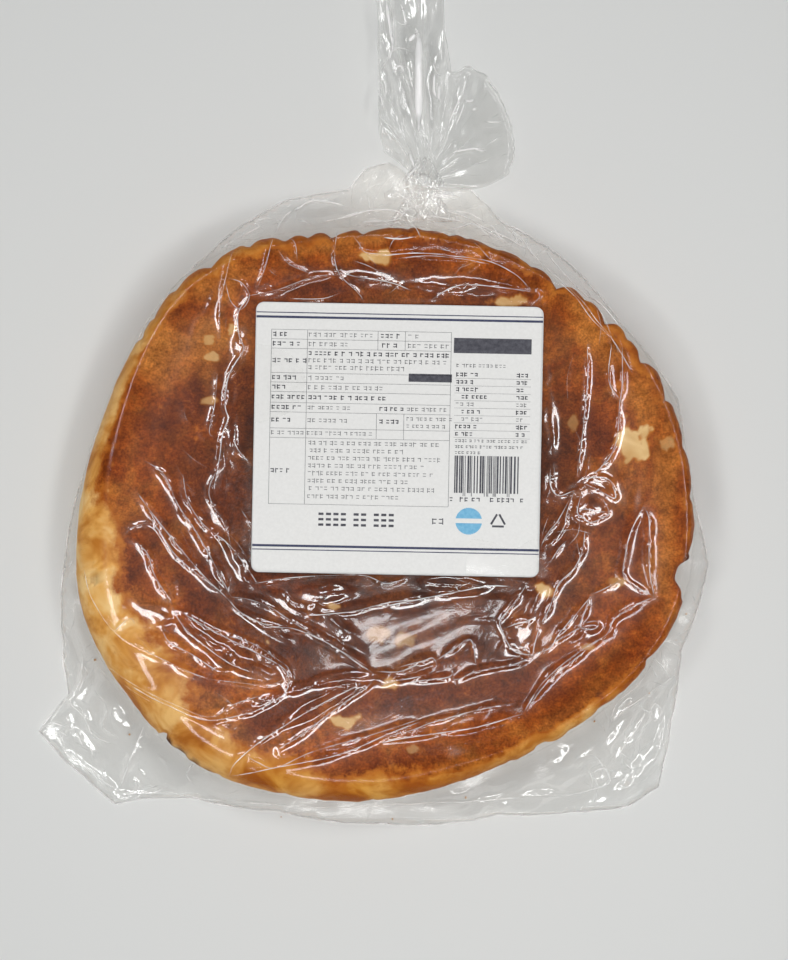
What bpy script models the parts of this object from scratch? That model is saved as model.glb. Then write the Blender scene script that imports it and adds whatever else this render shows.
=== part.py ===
"""A tandoori bread in its clear film bag, lying base up, with a paper label stuck on the film.

The bag is one closed solid: the film over the bread, its flat edges and corners, the knotted
neck and the gathered tail. Sizes are in millimetres. Bearings are in degrees, anticlockwise
from +X, about the middle of the bread; +Y points at the knotted neck.
"""

import math

import bmesh
import bpy
from mathutils.geometry import delaunay_2d_cdt

MM = 0.001

# The bread under the film
FACE_HEIGHT = 32.5
WIDEST_HEIGHT = 17.0
UNDERSIDE_CURL = 15.0
# The face is a little uneven: its rise and fall, and how far apart the swells lie
FACE_SWELL = 0.6
SWELL_ACROSS, SWELL_ALONG = 31.0, 23.0
SWELL_EDGE = 15.0
BREAD_REACH = (
    (0, 119), (20, 119), (36, 118), (50, 113), (72, 111), (100, 110), (122, 119), (140, 118),
    (155, 113), (180, 117), (200, 124), (215, 120), (230, 123), (250, 115), (290, 106),
    (310, 110), (340, 121),
)
FACE_INSET = ((20, 5), (90, 6), (150, 8), (195, 19), (235, 15), (275, 12), (315, 6))

# The bag's flat outline, corner by corner
EDGE_REACH = (
    (2, 124), (9, 122), (21, 126), (38, 121), (55, 125), (68, 126), (75, 134), (83, 130),
    (89, 139), (93, 137), (96, 130), (108, 131), (117, 128), (126, 124), (140, 121),
    (155, 116), (172, 120), (187, 128), (202, 139), (210, 146), (212.5, 164), (223, 160),
    (227.5, 159), (230, 150), (236, 138), (251, 127), (270, 125), (291, 130), (302, 142),
    (310, 154), (315, 156), (324, 143), (335, 132), (351, 132),
)
EDGE_THICKNESS = 1.2
FILM_OVER_BREAD = 1.5
FILM_SAG = 1.4
LOOSE_EDGE_HEIGHT = 1.2
TIGHT_EDGE_HEIGHT = 8.0
LOOSE_FILM = 16.0

# Folds that stand up in the film: (height, points from end to end)
FOLDS = (
    (2.4, ((-95, 6), (-69, -21), (-43, -42), (-6, -56))),
    (2.6, ((-88, -19), (-61, -45), (-37, -56), (-48, -64), (-88, -51), (-105, -36))),
    (2.2, ((-96, -64), (-64, -77), (-50, -70), (-7, -62))),
    (3.0, ((-56, -97), (-50, -86), (-30, -75), (-5, -62), (17, -57), (46, -57), (56, -53))),
    (2.2, ((-52, -97), (-1, -86), (35, -79), (53, -74), (81, -47), (102, -31))),
    (2.4, ((56, -53), (74, -41), (78, -29), (102, -31))),
    (2.2, ((91, -24), (92, -11), (99, 4), (102, -31))),
    (2.0, ((55, -52), (45, -42), (55, -26), (74, 2), (72, 16))),
    (2.0, ((77, 63), (76, 39), (72, 16))),
    (2.0, ((86, 63), (88, 42), (77, 14))),
    (1.8, ((4, 97), (41, 94), (60, 86))),
    (2.0, ((63, 95), (83, 69), (95, 50))),
    (1.8, ((-53, 84), (-16, 90), (4, 87))),
    (2.0, ((-60, 88), (-62, 49), (-66, 8), (-55, -21))),
    (2.0, ((-89, 19), (-71, -4), (-58, -32))),
)
FOLD_HALF_WIDTH = 4.0
SHOULDER_PLEATS = 7
SHOULDER_FROM, SHOULDER_TO = 62.0, 108.0
SHOULDER_PLEAT_HEIGHT = 2.6
SHOULDER_PLEAT_ENDS = (6.0, 4.0)
CORNER_CRINKLES = ((204.0, 234.0, 5), (297.0, 333.0, 6))
CORNER_CRINKLE_HEIGHT = 1.8
CORNER_CRINKLE_LEAN = 3.0
CORNER_CRINKLE_ENDS = (4.0, 5.0)

# Neck and tail
NECK_X, NECK_Y, NECK_HEIGHT = 16.0, 130.0, 8.5
NECK_PLEATS, NECK_PLEAT_DEPTH = 7, 0.12
NECK_TWIST = 1.4
# Along +Y from the neck: distance, half width, half height
NECK_SECTIONS = (
    (-16, 11.0, 6.0), (-10, 8.5, 6.0), (-5, 6.0, 5.2), (-2, 7.6, 6.6), (2, 8.4, 7.0),
    (5, 7.0, 6.0), (8, 5.0, 4.6), (13, 6.5, 4.2), (18, 7.5, 3.2),
)
NECK_SIDES = 28
# The tail's outline about the neck: bearing, reach
TAIL_REACH = (
    (-6, 18), (8, 34), (24, 40), (42, 45), (60, 50), (69, 49), (76, 46), (82, 58), (86, 88),
    (90, 98), (97, 100), (102, 96), (106, 64), (114, 42), (126, 30), (142, 19),
)
TAIL_ROOT = 4.0
TAIL_PLEATS = 9
TAIL_PLEAT_HEIGHT = 5.5
TAIL_RISE, TAIL_DROOP = 9.0, 1.2
# How far the pleats are open at the knot, and how far out they are fully open
TAIL_OPEN_AT_KNOT, TAIL_OPEN_BY = 0.3, 16.0
TAIL_THICKNESS = 1.4
TAIL_RAYS = 56
TAIL_RINGS = 9

# Label
LABEL_X, LABEL_Y = 5.6, 28.1
LABEL_WIDTH, LABEL_LENGTH, LABEL_THICKNESS = 108.0, 101.5, 0.4
LABEL_CORNER, LABEL_CORNER_STEPS = 3.0, 5
LABEL_TURN = -1.1
LABEL_GAP = 0.3
SEAT_MARGIN = 2.5
SEAT_INSIDE = 2.4

# Fineness of the solids
OUTLINE_STEP = 2.0
RING_STEP = 4.0
SIDE_RINGS = (0.0, 0.4, 0.75, 1.0)
TOP_SPACING = 5.6
UNDERSIDE_SPACING = 9.0


def around(pairs, bearing):
    """The reach at a bearing, by straight steps between (bearing, reach) pairs round the circle."""
    ring = [(pairs[-1][0] - 360, pairs[-1][1]), *pairs, (pairs[0][0] + 360, pairs[0][1])]
    bearing = (bearing - ring[0][0]) % 360 + ring[0][0]
    for (first, low), (last, high) in zip(ring, ring[1:]):
        if bearing <= last:
            return low + (high - low) * (bearing - first) / (last - first)
    return ring[-1][1]


def smooth_around(pairs, bearing, spread=9.0):
    """The same, rounded off by a mean over the bearings beside it."""
    steps = (-1.0, -0.5, 0.0, 0.5, 1.0)
    return sum(around(pairs, bearing + spread * step) for step in steps) / len(steps)


def polar(x, y):
    return math.degrees(math.atan2(y, x)) % 360, math.hypot(x, y)


def bread_reach(bearing):
    return smooth_around(BREAD_REACH, bearing)


def face_reach(bearing):
    return bread_reach(bearing) - smooth_around(FACE_INSET, bearing, 15.0)


def edge_reach(bearing):
    return max(around(EDGE_REACH, bearing), bread_reach(bearing) + FILM_OVER_BREAD)


def edge_height(bearing):
    """The underside of the film's edge: near the table where it's loose, up the side where it's tight."""
    loose = min((edge_reach(bearing) - bread_reach(bearing)) / LOOSE_FILM, 1.0)
    return TIGHT_EDGE_HEIGHT + (LOOSE_EDGE_HEIGHT - TIGHT_EDGE_HEIGHT) * math.sin(loose * math.pi / 2)


def along(points, step):
    """Points no further than step apart on the straight runs between points."""
    out = [points[0]]
    for start, end in zip(points, points[1:]):
        count = max(1, math.ceil(math.dist(start, end) / step))
        for k in range(1, count + 1):
            out.append(tuple(a + (b - a) * k / count for a, b in zip(start, end)))
    return out


def at_bearing(bearing, reach):
    angle = math.radians(bearing)
    return reach * math.cos(angle), reach * math.sin(angle)


def shoulder_pleats():
    """Pleats that run from the knot down to the edge of the bread's face."""
    for k in range(SHOULDER_PLEATS):
        bearing = SHOULDER_FROM + (SHOULDER_TO - SHOULDER_FROM) * k / (SHOULDER_PLEATS - 1)
        foot = at_bearing(bearing, bread_reach(bearing) - SHOULDER_PLEAT_ENDS[1])
        yield SHOULDER_PLEAT_HEIGHT, ((NECK_X, NECK_Y - SHOULDER_PLEAT_ENDS[0]), foot)


def corner_crinkles():
    """Crinkles that run out into the two flattened corners."""
    for start, end, count in CORNER_CRINKLES:
        for k in range(count):
            bearing = start + (end - start) * (k + 0.5) / count
            leaning = bearing + CORNER_CRINKLE_LEAN * (1 if k % 2 else -1)
            inner = at_bearing(bearing, bread_reach(bearing) + CORNER_CRINKLE_ENDS[0])
            outer = at_bearing(leaning, edge_reach(leaning) - CORNER_CRINKLE_ENDS[1])
            yield CORNER_CRINKLE_HEIGHT, (inner, outer)


def all_folds():
    return [*FOLDS, *shoulder_pleats(), *corner_crinkles()]


def past_label(x, y):
    """How far a place lies outside the label's edge, negative under the label."""
    angle = math.radians(LABEL_TURN)
    dx, dy = x - LABEL_X, y - LABEL_Y
    u = dx * math.cos(angle) + dy * math.sin(angle)
    v = dy * math.cos(angle) - dx * math.sin(angle)
    return max(abs(u) - LABEL_WIDTH / 2, abs(v) - LABEL_LENGTH / 2)


def distance_to_run(x, y, start, end):
    run = (end[0] - start[0], end[1] - start[1])
    part = ((x - start[0]) * run[0] + (y - start[1]) * run[1]) / (run[0] ** 2 + run[1] ** 2)
    part = min(max(part, 0.0), 1.0)
    return math.dist((x, y), (start[0] + part * run[0], start[1] + part * run[1]))


def fold_relief(x, y, folds):
    relief = 0.0
    for height, points in folds:
        for start, end in zip(points, points[1:]):
            near = distance_to_run(x, y, start, end) / FOLD_HALF_WIDTH
            relief = max(relief, height * (1 - near))
    return relief


def film_top(x, y, folds):
    """Height of the film over the bread, down its side and out to the bag's edge."""
    bearing, reach = polar(x, y)
    face, widest, edge = face_reach(bearing), bread_reach(bearing), edge_reach(bearing)
    relief = fold_relief(x, y, folds)
    if reach <= face:
        height = FACE_HEIGHT
        swell = math.sin(x / SWELL_ACROSS) * math.cos(y / SWELL_ALONG + 1)
        relief += FACE_SWELL * swell * min(1.0, (face - reach) / SWELL_EDGE)
    elif reach <= widest:
        side = (reach - face) / (widest - face)
        height = WIDEST_HEIGHT + (FACE_HEIGHT - WIDEST_HEIGHT) * math.sqrt(1 - side ** 2)
    else:
        lip = edge_height(bearing) + EDGE_THICKNESS
        out = min((reach - widest) / (edge - widest), 1.0)
        height = lip + (WIDEST_HEIGHT - lip) * (1 - out) ** FILM_SAG
    off_label = (past_label(x, y) - SEAT_MARGIN) / FOLD_HALF_WIDTH
    in_bag = (edge - reach) / FOLD_HALF_WIDTH
    return height + relief * min(max(min(off_label, in_bag), 0.0), 1.0)


def film_underside(x, y):
    """Flat on the table under the bread, and lifting towards the bag's edge."""
    bearing, reach = polar(x, y)
    start = bread_reach(bearing) - UNDERSIDE_CURL
    lift = max(0.0, (reach - start) / (edge_reach(bearing) - start))
    return edge_height(bearing) * min(lift, 1.0) ** 2


def ring(step, reach_at):
    """Points round the bread, one at each step of bearing."""
    bearings = [k * step for k in range(round(360 / step))]
    return [at_bearing(bearing, reach_at(bearing)) for bearing in bearings]


def side_ring(part):
    """A line round the bread's side, from 0 at the edge of its face to 1 at its widest."""
    points = ring(RING_STEP, lambda b: face_reach(b) + part * (bread_reach(b) - face_reach(b)))
    return [*points, points[0]]


def fill_points(spacing, allowed, clear, lines):
    """Points in a triangular pattern, where allowed and clear of the lines."""
    row_step = spacing * math.sqrt(0.75)
    rows = math.ceil(max(reach for _, reach in EDGE_REACH) / row_step)
    found = []
    for row in range(-rows, rows + 1):
        for column in range(-rows, rows + 1):
            x, y = (column + 0.5 * (row % 2)) * spacing, row * row_step
            if not allowed(x, y):
                continue
            runs = ((start, end) for line in lines for start, end in zip(line, line[1:]))
            if all(distance_to_run(x, y, start, end) > clear for start, end in runs):
                found.append((x, y))
    return found


def triangulate(border, lines, loose):
    """Flat triangles inside the border, with the lines among their edges."""
    points = list(border)
    edges = [(k, (k + 1) % len(border)) for k in range(len(border))]
    for line in lines:
        edges += [(len(points) + k, len(points) + k + 1) for k in range(len(line) - 1)]
        points += line
    points += loose
    flat, _, faces, sources, _, _ = delaunay_2d_cdt(points, edges, [], 1, 0.2)
    found_at = {source: index for index, found in enumerate(sources) for source in found}
    return [tuple(point) for point in flat], faces, [found_at[k] for k in range(len(border))]


def seat_line():
    """The edge of the flat place under the label."""
    angle = math.radians(LABEL_TURN)
    corners = []
    for u, v in ((-1, -1), (1, -1), (1, 1), (-1, 1), (-1, -1)):
        across = u * (LABEL_WIDTH / 2 + SEAT_INSIDE)
        up = v * (LABEL_LENGTH / 2 + SEAT_INSIDE)
        x = LABEL_X + across * math.cos(angle) - up * math.sin(angle)
        y = LABEL_Y + across * math.sin(angle) + up * math.cos(angle)
        corners.append((x, y))
    return along(corners, TOP_SPACING)


def top_sheet(border):
    """The film over the bread, laid out flat: triangles with the folds and the bread's rings as edges."""
    folds = [along(points, TOP_SPACING) for _, points in all_folds()]
    folds = [[point for point in line if past_label(*point) > SEAT_MARGIN + 1] for line in folds]
    folds = [line for line in folds if len(line) > 1]

    def allowed(x, y):
        bearing, reach = polar(x, y)
        on_face = reach < face_reach(bearing) - 0.7 * TOP_SPACING
        past_bread = reach > bread_reach(bearing) + 0.7 * TOP_SPACING
        return on_face or (past_bread and reach < edge_reach(bearing) - 0.5 * TOP_SPACING)

    lines = [*folds, seat_line()]
    loose = fill_points(TOP_SPACING, allowed, FOLD_HALF_WIDTH, lines)
    return triangulate(border, [*lines, *map(side_ring, SIDE_RINGS)], loose)


def under_sheet(border):
    """The underside, laid out flat: one wide flat face on the table, and triangles out to the edge."""
    start = ring(3 * OUTLINE_STEP, lambda bearing: bread_reach(bearing) - UNDERSIDE_CURL)

    def allowed(x, y):
        bearing, reach = polar(x, y)
        inner = bread_reach(bearing) - UNDERSIDE_CURL + 0.5 * UNDERSIDE_SPACING
        return inner < reach < edge_reach(bearing) - 0.5 * UNDERSIDE_SPACING

    return triangulate(border, [[*start, start[0]]], fill_points(UNDERSIDE_SPACING, allowed, 0, []))


def bag_body():
    """The wrapped bread: a folded top sheet and a plain underside, joined round the bag's edge."""
    bm = bmesh.new()
    folds = all_folds()
    border = ring(OUTLINE_STEP, edge_reach)
    flat, faces, top_rim = top_sheet(border)
    upper = [bm.verts.new((x * MM, y * MM, film_top(x, y, folds) * MM)) for x, y in flat]
    for face in faces:
        bm.faces.new([upper[k] for k in face])
    flat, faces, under_rim = under_sheet(border)
    lower = [bm.verts.new((x * MM, y * MM, film_underside(x, y) * MM)) for x, y in flat]
    for face in faces:
        bm.faces.new([lower[k] for k in reversed(face)])
    rim = [(upper[over], lower[under]) for over, under in zip(top_rim, under_rim)]
    for (over, under), (next_over, next_under) in zip(rim, rim[1:] + rim[:1]):
        bm.faces.new((over, under, next_under, next_over))
    return finished(bm, "bag")


def neck():
    """The film twisted together and knotted: a short pleated tube along +Y."""
    bm = bmesh.new()
    sections = []
    for n, (distance, half_width, half_height) in enumerate(NECK_SECTIONS):
        section = []
        for k in range(NECK_SIDES):
            angle = 2 * math.pi * k / NECK_SIDES
            pleat = 1 + NECK_PLEAT_DEPTH * math.cos(NECK_PLEATS * angle + NECK_TWIST * n)
            x = NECK_X + half_width * pleat * math.cos(angle)
            z = NECK_HEIGHT + half_height * pleat * math.sin(angle)
            section.append(bm.verts.new((x * MM, (NECK_Y + distance) * MM, z * MM)))
        sections.append(section)
    for section, following in zip(sections, sections[1:]):
        for k in range(NECK_SIDES):
            after = (k + 1) % NECK_SIDES
            bm.faces.new((section[k], following[k], following[after], section[after]))
    bm.faces.new(sections[0])
    bm.faces.new(reversed(sections[-1]))
    return finished(bm, "neck")


def tail_height(turn, reach):
    """Pleats that open out from the knot, as the tail sinks towards the table."""
    out = reach - TAIL_ROOT
    opening = min(1.0, TAIL_OPEN_AT_KNOT + (1 - TAIL_OPEN_AT_KNOT) * out / TAIL_OPEN_BY)
    pleat = TAIL_PLEAT_HEIGHT * opening * math.sin(2 * math.pi * TAIL_PLEATS * turn)
    return TAIL_RISE - TAIL_DROOP * out / TAIL_REACH[-1][0] + pleat


def tail():
    """The gathered end of the bag: a thin pleated fan about the knot."""
    bm = bmesh.new()
    first, last = TAIL_REACH[0][0], TAIL_REACH[-1][0]
    rays = []
    for n in range(TAIL_RAYS + 1):
        turn = n / TAIL_RAYS
        bearing = first + (last - first) * turn
        length = around(TAIL_REACH, bearing) - TAIL_ROOT
        ray = []
        for k in range(TAIL_RINGS + 1):
            reach = TAIL_ROOT + length * k / TAIL_RINGS
            x, y = at_bearing(bearing, reach)
            place = (NECK_X + x, NECK_Y + y, tail_height(turn, reach))
            ray.append(bm.verts.new([size * MM for size in place]))
        rays.append(ray)
    for ray, following in zip(rays, rays[1:]):
        for k in range(TAIL_RINGS):
            bm.faces.new((ray[k], ray[k + 1], following[k + 1]))
            bm.faces.new((ray[k], following[k + 1], following[k]))
    thicken(bm, TAIL_THICKNESS)
    return finished(bm, "tail")


def thicken(bm, thickness):
    """Raises a copy of an open surface, joined to it round its edge."""
    raised = bmesh.ops.extrude_face_region(bm, geom=bm.faces[:])["geom"]
    lifted = [item for item in raised if isinstance(item, bmesh.types.BMVert)]
    bmesh.ops.translate(bm, verts=lifted, vec=(0, 0, thickness * MM))


def label():
    """The paper label: a thin plate with rounded corners, flat on the film over the bread's face."""
    bm = bmesh.new()
    points = []
    for turn, (u, v) in enumerate(((1, 1), (-1, 1), (-1, -1), (1, -1))):
        for k in range(LABEL_CORNER_STEPS + 1):
            angle = math.radians(90 * (turn + k / LABEL_CORNER_STEPS))
            x = u * (LABEL_WIDTH / 2 - LABEL_CORNER) + LABEL_CORNER * math.cos(angle)
            y = v * (LABEL_LENGTH / 2 - LABEL_CORNER) + LABEL_CORNER * math.sin(angle)
            points.append(bm.verts.new((x * MM, y * MM, 0)))
    bm.faces.new(points)
    thicken(bm, LABEL_THICKNESS)
    made = finished(bm, "label")
    made.location = (LABEL_X * MM, LABEL_Y * MM, (FACE_HEIGHT + LABEL_GAP) * MM)
    made.rotation_euler = (0, 0, math.radians(LABEL_TURN))
    return made


def finished(bm, name):
    """A mesh object with its faces turned outwards, in the part's collection."""
    bmesh.ops.recalc_face_normals(bm, faces=bm.faces)
    mesh = bpy.data.meshes.new(name)
    bm.to_mesh(mesh)
    bm.free()
    made = bpy.data.objects.new(name, mesh)
    collection.objects.link(made)
    return made


def join(body, pieces):
    """One solid of the body and the pieces that cross it."""
    for piece in pieces:
        union = body.modifiers.new("join_" + piece.name, "BOOLEAN")
        union.operation = "UNION"
        union.solver = "EXACT"
        union.object = piece
        bpy.context.view_layer.update()
        graph = bpy.context.evaluated_depsgraph_get()
        joined = bpy.data.meshes.new_from_object(body.evaluated_get(graph))
        body.modifiers.clear()
        body.data = joined
        bpy.data.objects.remove(piece)


def material(name, colour, roughness):
    made = bpy.data.materials.new(name)
    made.use_nodes = True
    shader = made.node_tree.nodes["Principled BSDF"]
    shader.inputs["Base Color"].default_value = (*colour, 1)
    shader.inputs["Roughness"].default_value = roughness
    shader.inputs["Metallic"].default_value = 0
    return made


for leftover in list(bpy.data.objects):
    bpy.data.objects.remove(leftover)
collection = bpy.data.collections.new("bagged_tandoori_bread")
bpy.context.scene.collection.children.link(collection)

bag = bag_body()
join(bag, [neck(), tail()])
paper = label()
bag.data.materials.clear()
bag.data.materials.append(material("bread_in_film", (0.28, 0.09, 0.03), 0.25))
paper.data.materials.append(material("label_paper", (0.75, 0.73, 0.69), 0.4))
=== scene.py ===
import math

import bpy
import numpy as np
from mathutils.geometry import delaunay_2d_cdt
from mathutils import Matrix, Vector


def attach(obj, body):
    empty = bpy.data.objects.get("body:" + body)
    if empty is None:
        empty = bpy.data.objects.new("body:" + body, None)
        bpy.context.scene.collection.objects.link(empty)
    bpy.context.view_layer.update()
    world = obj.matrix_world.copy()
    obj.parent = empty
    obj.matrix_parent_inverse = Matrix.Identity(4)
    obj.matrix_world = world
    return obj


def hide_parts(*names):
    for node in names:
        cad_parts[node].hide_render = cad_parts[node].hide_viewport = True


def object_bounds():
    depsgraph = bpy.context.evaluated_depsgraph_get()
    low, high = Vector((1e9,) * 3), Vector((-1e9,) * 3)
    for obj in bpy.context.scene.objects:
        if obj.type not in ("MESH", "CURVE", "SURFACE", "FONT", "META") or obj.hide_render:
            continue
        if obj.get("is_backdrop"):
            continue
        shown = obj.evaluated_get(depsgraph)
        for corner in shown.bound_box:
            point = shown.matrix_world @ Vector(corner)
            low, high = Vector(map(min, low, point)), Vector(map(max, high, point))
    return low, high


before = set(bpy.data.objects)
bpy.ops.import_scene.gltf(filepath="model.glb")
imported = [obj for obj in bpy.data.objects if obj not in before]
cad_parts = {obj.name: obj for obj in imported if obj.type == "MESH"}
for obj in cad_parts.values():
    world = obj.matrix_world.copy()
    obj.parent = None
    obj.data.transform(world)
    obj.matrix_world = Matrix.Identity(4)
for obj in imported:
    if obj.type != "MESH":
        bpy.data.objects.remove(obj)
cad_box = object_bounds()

# The bread
# A thick round of leavened dough, baked stuck to the wall of a clay oven and packed base up. The wall
# has browned the base, except where blisters stood clear of it; the side that bulged free is golden.
# Lengths are in millimetres, bearings in degrees anticlockwise from +X about the middle of the bread.

MM = 0.001
BREAD_REACH = (
    (0, 119), (20, 119), (36, 118), (50, 113), (72, 111), (100, 110), (122, 119), (140, 118),
    (155, 113), (180, 117), (200, 124), (215, 120), (230, 123), (250, 115), (290, 106),
    (310, 110), (340, 121),
)
FACE_INSET = ((20, 5), (90, 6), (150, 8), (195, 19), (235, 15), (275, 12), (315, 6))
BREAD_BEARINGS = 640
FACE_RINGS, UPPER_SIDE_RINGS, LOWER_SIDE_RINGS, UNDERSIDE_RINGS = 80, 16, 14, 30
CRUST_TOP, WIDEST_HEIGHT, RESTING_HEIGHT = 31.7, 17.0, 0.7
UNDERSIDE_CURL, PRESSED_MIDDLE = 15.0, 6.0
FACE_SWELL, SWELL_ACROSS, SWELL_ALONG, SWELL_EDGE = 0.6, 31.0, 23.0, 15.0
# How torn the rim is at each bearing. Bites and notches in it: bearing, half width, depth
RAGGED = (
    (0, 0.8), (40, 0.9), (70, 1.0), (95, 1.0), (122, 1.1), (146, 1.0), (160, 0.5), (180, 0.25),
    (222, 0.35), (226, 1.4), (236, 1.2), (240, 0.5), (285, 0.6), (298, 1.0), (326, 0.9), (335, 0.8),
)
RIM_BITES = ((348.6, 2.6, 5.6), (345.0, 1.0, 1.4), (304.4, 1.5, 1.6), (225.4, 0.6, 2.2))
RIM_NOTCHES = (
    (143.8, 1.6, 2.2), (139.6, 1.5, 1.8), (133.0, 1.6, 1.2), (125.0, 2.0, 3.2), (116.7, 1.4, 1.8),
    (109.9, 1.8, 3.0), (105.3, 1.5, 2.6), (100.5, 2.0, 3.8), (94.2, 1.6, 2.8), (85.0, 1.4, 1.4),
    (76.5, 1.3, 1.2), (66.5, 1.5, 1.5), (59.0, 1.2, 1.2), (52.3, 2.2, 4.0), (46.5, 1.2, 1.6),
    (40.4, 1.8, 4.0), (35.6, 1.5, 2.0), (30.4, 2.0, 3.8), (22.0, 1.3, 2.6), (12.5, 1.1, 1.2),
    (3.0, 1.3, 1.3), (352.6, 1.0, 1.8), (331.0, 1.5, 2.2), (318.0, 2.2, 1.2), (310.5, 1.8, 1.0),
    (297.0, 1.6, 0.8), (230.4, 1.2, 1.2), (238.0, 1.4, 1.0), (251.0, 1.5, 1.1), (268.0, 1.4, 0.9),
)
# Scraps of burnt dough that stick out of the side: bearing, height, half width, half height, how far
SCRAPS = ((227.3, 11.0, 0.9, 3.6, 2.0), (232.6, 9.0, 1.6, 3.0, 1.0), (311.5, 12.0, 1.2, 2.4, 0.9))
# How golden the side is at each bearing, and how far the gold starts inside the face's edge
GOLDEN = (
    (10, 0.05), (60, 0.10), (100, 0.12), (128, 0.30), (145, 0.60), (160, 0.9), (235, 1.0),
    (280, 0.9), (294, 0.5), (303, 0.12), (320, 0.05), (350, 0.10),
)
GOLD_START = (
    (135, -7), (160, -7), (174, -4), (184, 1), (192, 2), (199, 5), (205, 10), (212, 7), (222, 7),
    (232, 4), (246, 3), (262, 0), (276, 0), (290, -6), (302, -7),
)
# How pale the outermost rim is at each bearing, how wide that band is, and how far a place's height
# moves it outwards as seen from half a metre above. The band is partly the crust's paler edge and
# partly painted light on the side where it turns away into shade
PALE_RIM_AND_PAINTED_LIGHT = (
    (0, 0.25), (15, 0.15), (34, 0.45), (50, 0.35), (62, 0.25), (100, 0.3), (120, 0.6), (135, 0.65),
    (150, 0.95), (180, 1.0), (276, 0.7), (290, 0.75), (300, 1.0), (315, 0.8), (330, 0.25), (345, 0.05),
)
PALE_RIM_AND_LIGHT_WIDTH, RIM_TILT = (5.8, 2.6), 0.24
CREAMY = (
    (90, 0.3), (150, 0.5), (175, 1.0), (195, 0.9), (205, 0.8), (222, 0.5), (238, 0.3), (255, 0.05),
    (290, 0.1), (302, 0.6), (316, 0.5), (330, 0.1),
)
# Pale blisters: x, y, half width, half height, strength
BLISTERS = (
    (94.6, 26.4, 5.6, 6.4, 1.0), (-2, 97, 5.0, 2.4, 0.9), (48, 80.3, 6.4, 1.8, 0.8),
    (-65, 66, 2.6, 2.0, 0.75), (-64, 59, 3.2, 1.5, 0.6), (-57, 70, 1.8, 2.6, 0.7),
    (-64.6, 42.3, 2.2, 1.6, 0.6), (-14, -78, 4.4, 2.2, 0.9), (3, -63.5, 3.6, 1.8, 0.7),
    (-43.5, -48, 1.4, 1.3, 0.5), (61, -28.5, 3.2, 2.2, 0.85), (88, -25.5, 4.0, 1.8, 0.5),
    (76.5, -50, 2.8, 1.6, 0.4), (-2, -45, 4.0, 2.6, 0.35), (8, -47, 3.6, 2.4, 0.3),
    (107.4, 27, 2.4, 2.4, 0.35), (-18.3, -34.9, 2.6, 1.2, 0.6), (12, -88.5, 3.0, 1.2, 0.3),
    (72, 34, 1.6, 2.2, 0.3),
)
# Where the oven has browned the face most: middle, half length, half width, bearing, strength
DARKEST = (
    (-34, -28, 24, 4, -10, 0.9), (-32, -71, 26, 6, 27, 0.9), (24, -90, 40, 4, 8, 0.4),
    (6, 89, 36, 5, -6, 0.8), (-30, 84, 16, 3, 12, 0.8), (62, -14, 6, 26, 0, 0.6),
    (-62, 14, 7, 34, 0, 0.6), (-72, -28, 6, 24, 32, 0.7), (78, -66, 16, 6, 42, 0.5),
    (66, 60, 5, 22, 0, 0.4), (-94, -14, 4, 16, 10, 0.5), (-58, -52, 20, 4, -30, 0.5),
    (10, -40, 34, 7, 8, 0.5), (42, -62, 22, 5, 14, 0.4), (96, -4, 4, 16, 0, 0.35),
    (-88, 30, 8, 12, 20, 0.3), (20, -72, 34, 6, 6, 0.8), (88, -6, 9, 18, 0, 0.4),
)
# Where it's palest: the same. These are partly the crust's own paler browning and partly a painted haze,
# the film's reflection put into the crust's colour
LIGHTEST_AND_PAINTED_HAZE = (
    (82, 68, 7, 16, 35, 0.5), (76, 88, 10, 5, -40, 0.5), (106, 14, 4, 18, 0, 0.5),
    (-66, 64, 6, 12, 0, 0.7), (-22, 103, 24, 4, 5, 0.6), (-84, 62, 10, 14, 40, 0.6),
    (70, -76, 22, 4, 40, 0.3), (104, -22, 5, 12, -10, 0.5), (-62, 87, 12, 6, 20, 0.5),
    (-92, -40, 6, 10, 20, 0.5), (-58, -78, 14, 5, -34, 0.5), (10, -76, 22, 3, 10, 0.3),
    (98, 44, 6, 10, 20, 0.4),
)
# Scorched places: x, y, reach, strength
SCORCHES = (
    (-83.5, -88.0, 3.4, 1.0), (-79, -92, 4.0, 0.9), (-73.5, -96.5, 4.0, 0.8), (-68, -100, 3.0, 0.6),
    (116, -17, 3.0, 0.8), (116, -29, 2.2, 0.5), (-108, -24, 2.6, 0.4), (-80, 38, 9.0, 0.25),
    (103, -60, 2.4, 0.5),
)
# The lumps of the crust, each by its size, height and seed: on the face; on the side, with how much
# shorter they are upright; on the underside, and how far that is raised; the rim's scallops, and the
# finer wander on them
FACE_BUMPS = ((14.0, 0.30, 1), (5.0, 0.16, 2), (2.3, 0.07, 4))
SIDE_BUMPS = ((13.0, 0.5, 6, 1.6), (4.5, 0.22, 8, 1.4))
UNDERSIDE_BUMPS, UNDERSIDE_RISE = ((11.0, 0.35, 7),), 0.35
RIM_LOBES = ((16.0, 1.2, 3), (6.5, 0.5, 14))
RIM_WANDER = ((7.5, 0.28, 9), (3.4, 0.26, 5))
# The scallops begin this far in, and are tall or low by stretches. Stretches and patches are given by
# their size, seed, where they start and are full, and often the least share and the rest
LOBES_IN, LOBE_STRETCHES = 0.2, (31.0, 15, -0.4, 0.4, 0.35, 0.9)
# A notch is steep on one side and slow on the other, as shares of its width. How blunt the cuts are
NOTCH_STEEP, NOTCH_SLOW, NOTCH_POWER, BITE_POWER = 0.55, 1.5, 1.2, 4.0
# The furthest that the rim, a bump of the face and a bulge of the side stand out
RIM_MOST, BUMP_MOST, BULGE_MOST = 0.7, 0.55, 0.3
# Over what width the face's bumps start, over what depth the side's do, and their share at the rim
BUMP_START, BULGE_START, BULGE_AT_RIM = 3.0, 6.0, 0.3
MEAN_REACH, LEAST_SIDE = 118.0, 3.5
# Where the hollow of the underside starts and is full, as shares of the way to its edge
HOLLOW_FROM, HOLLOW_FULL = 0.85, 0.3
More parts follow.
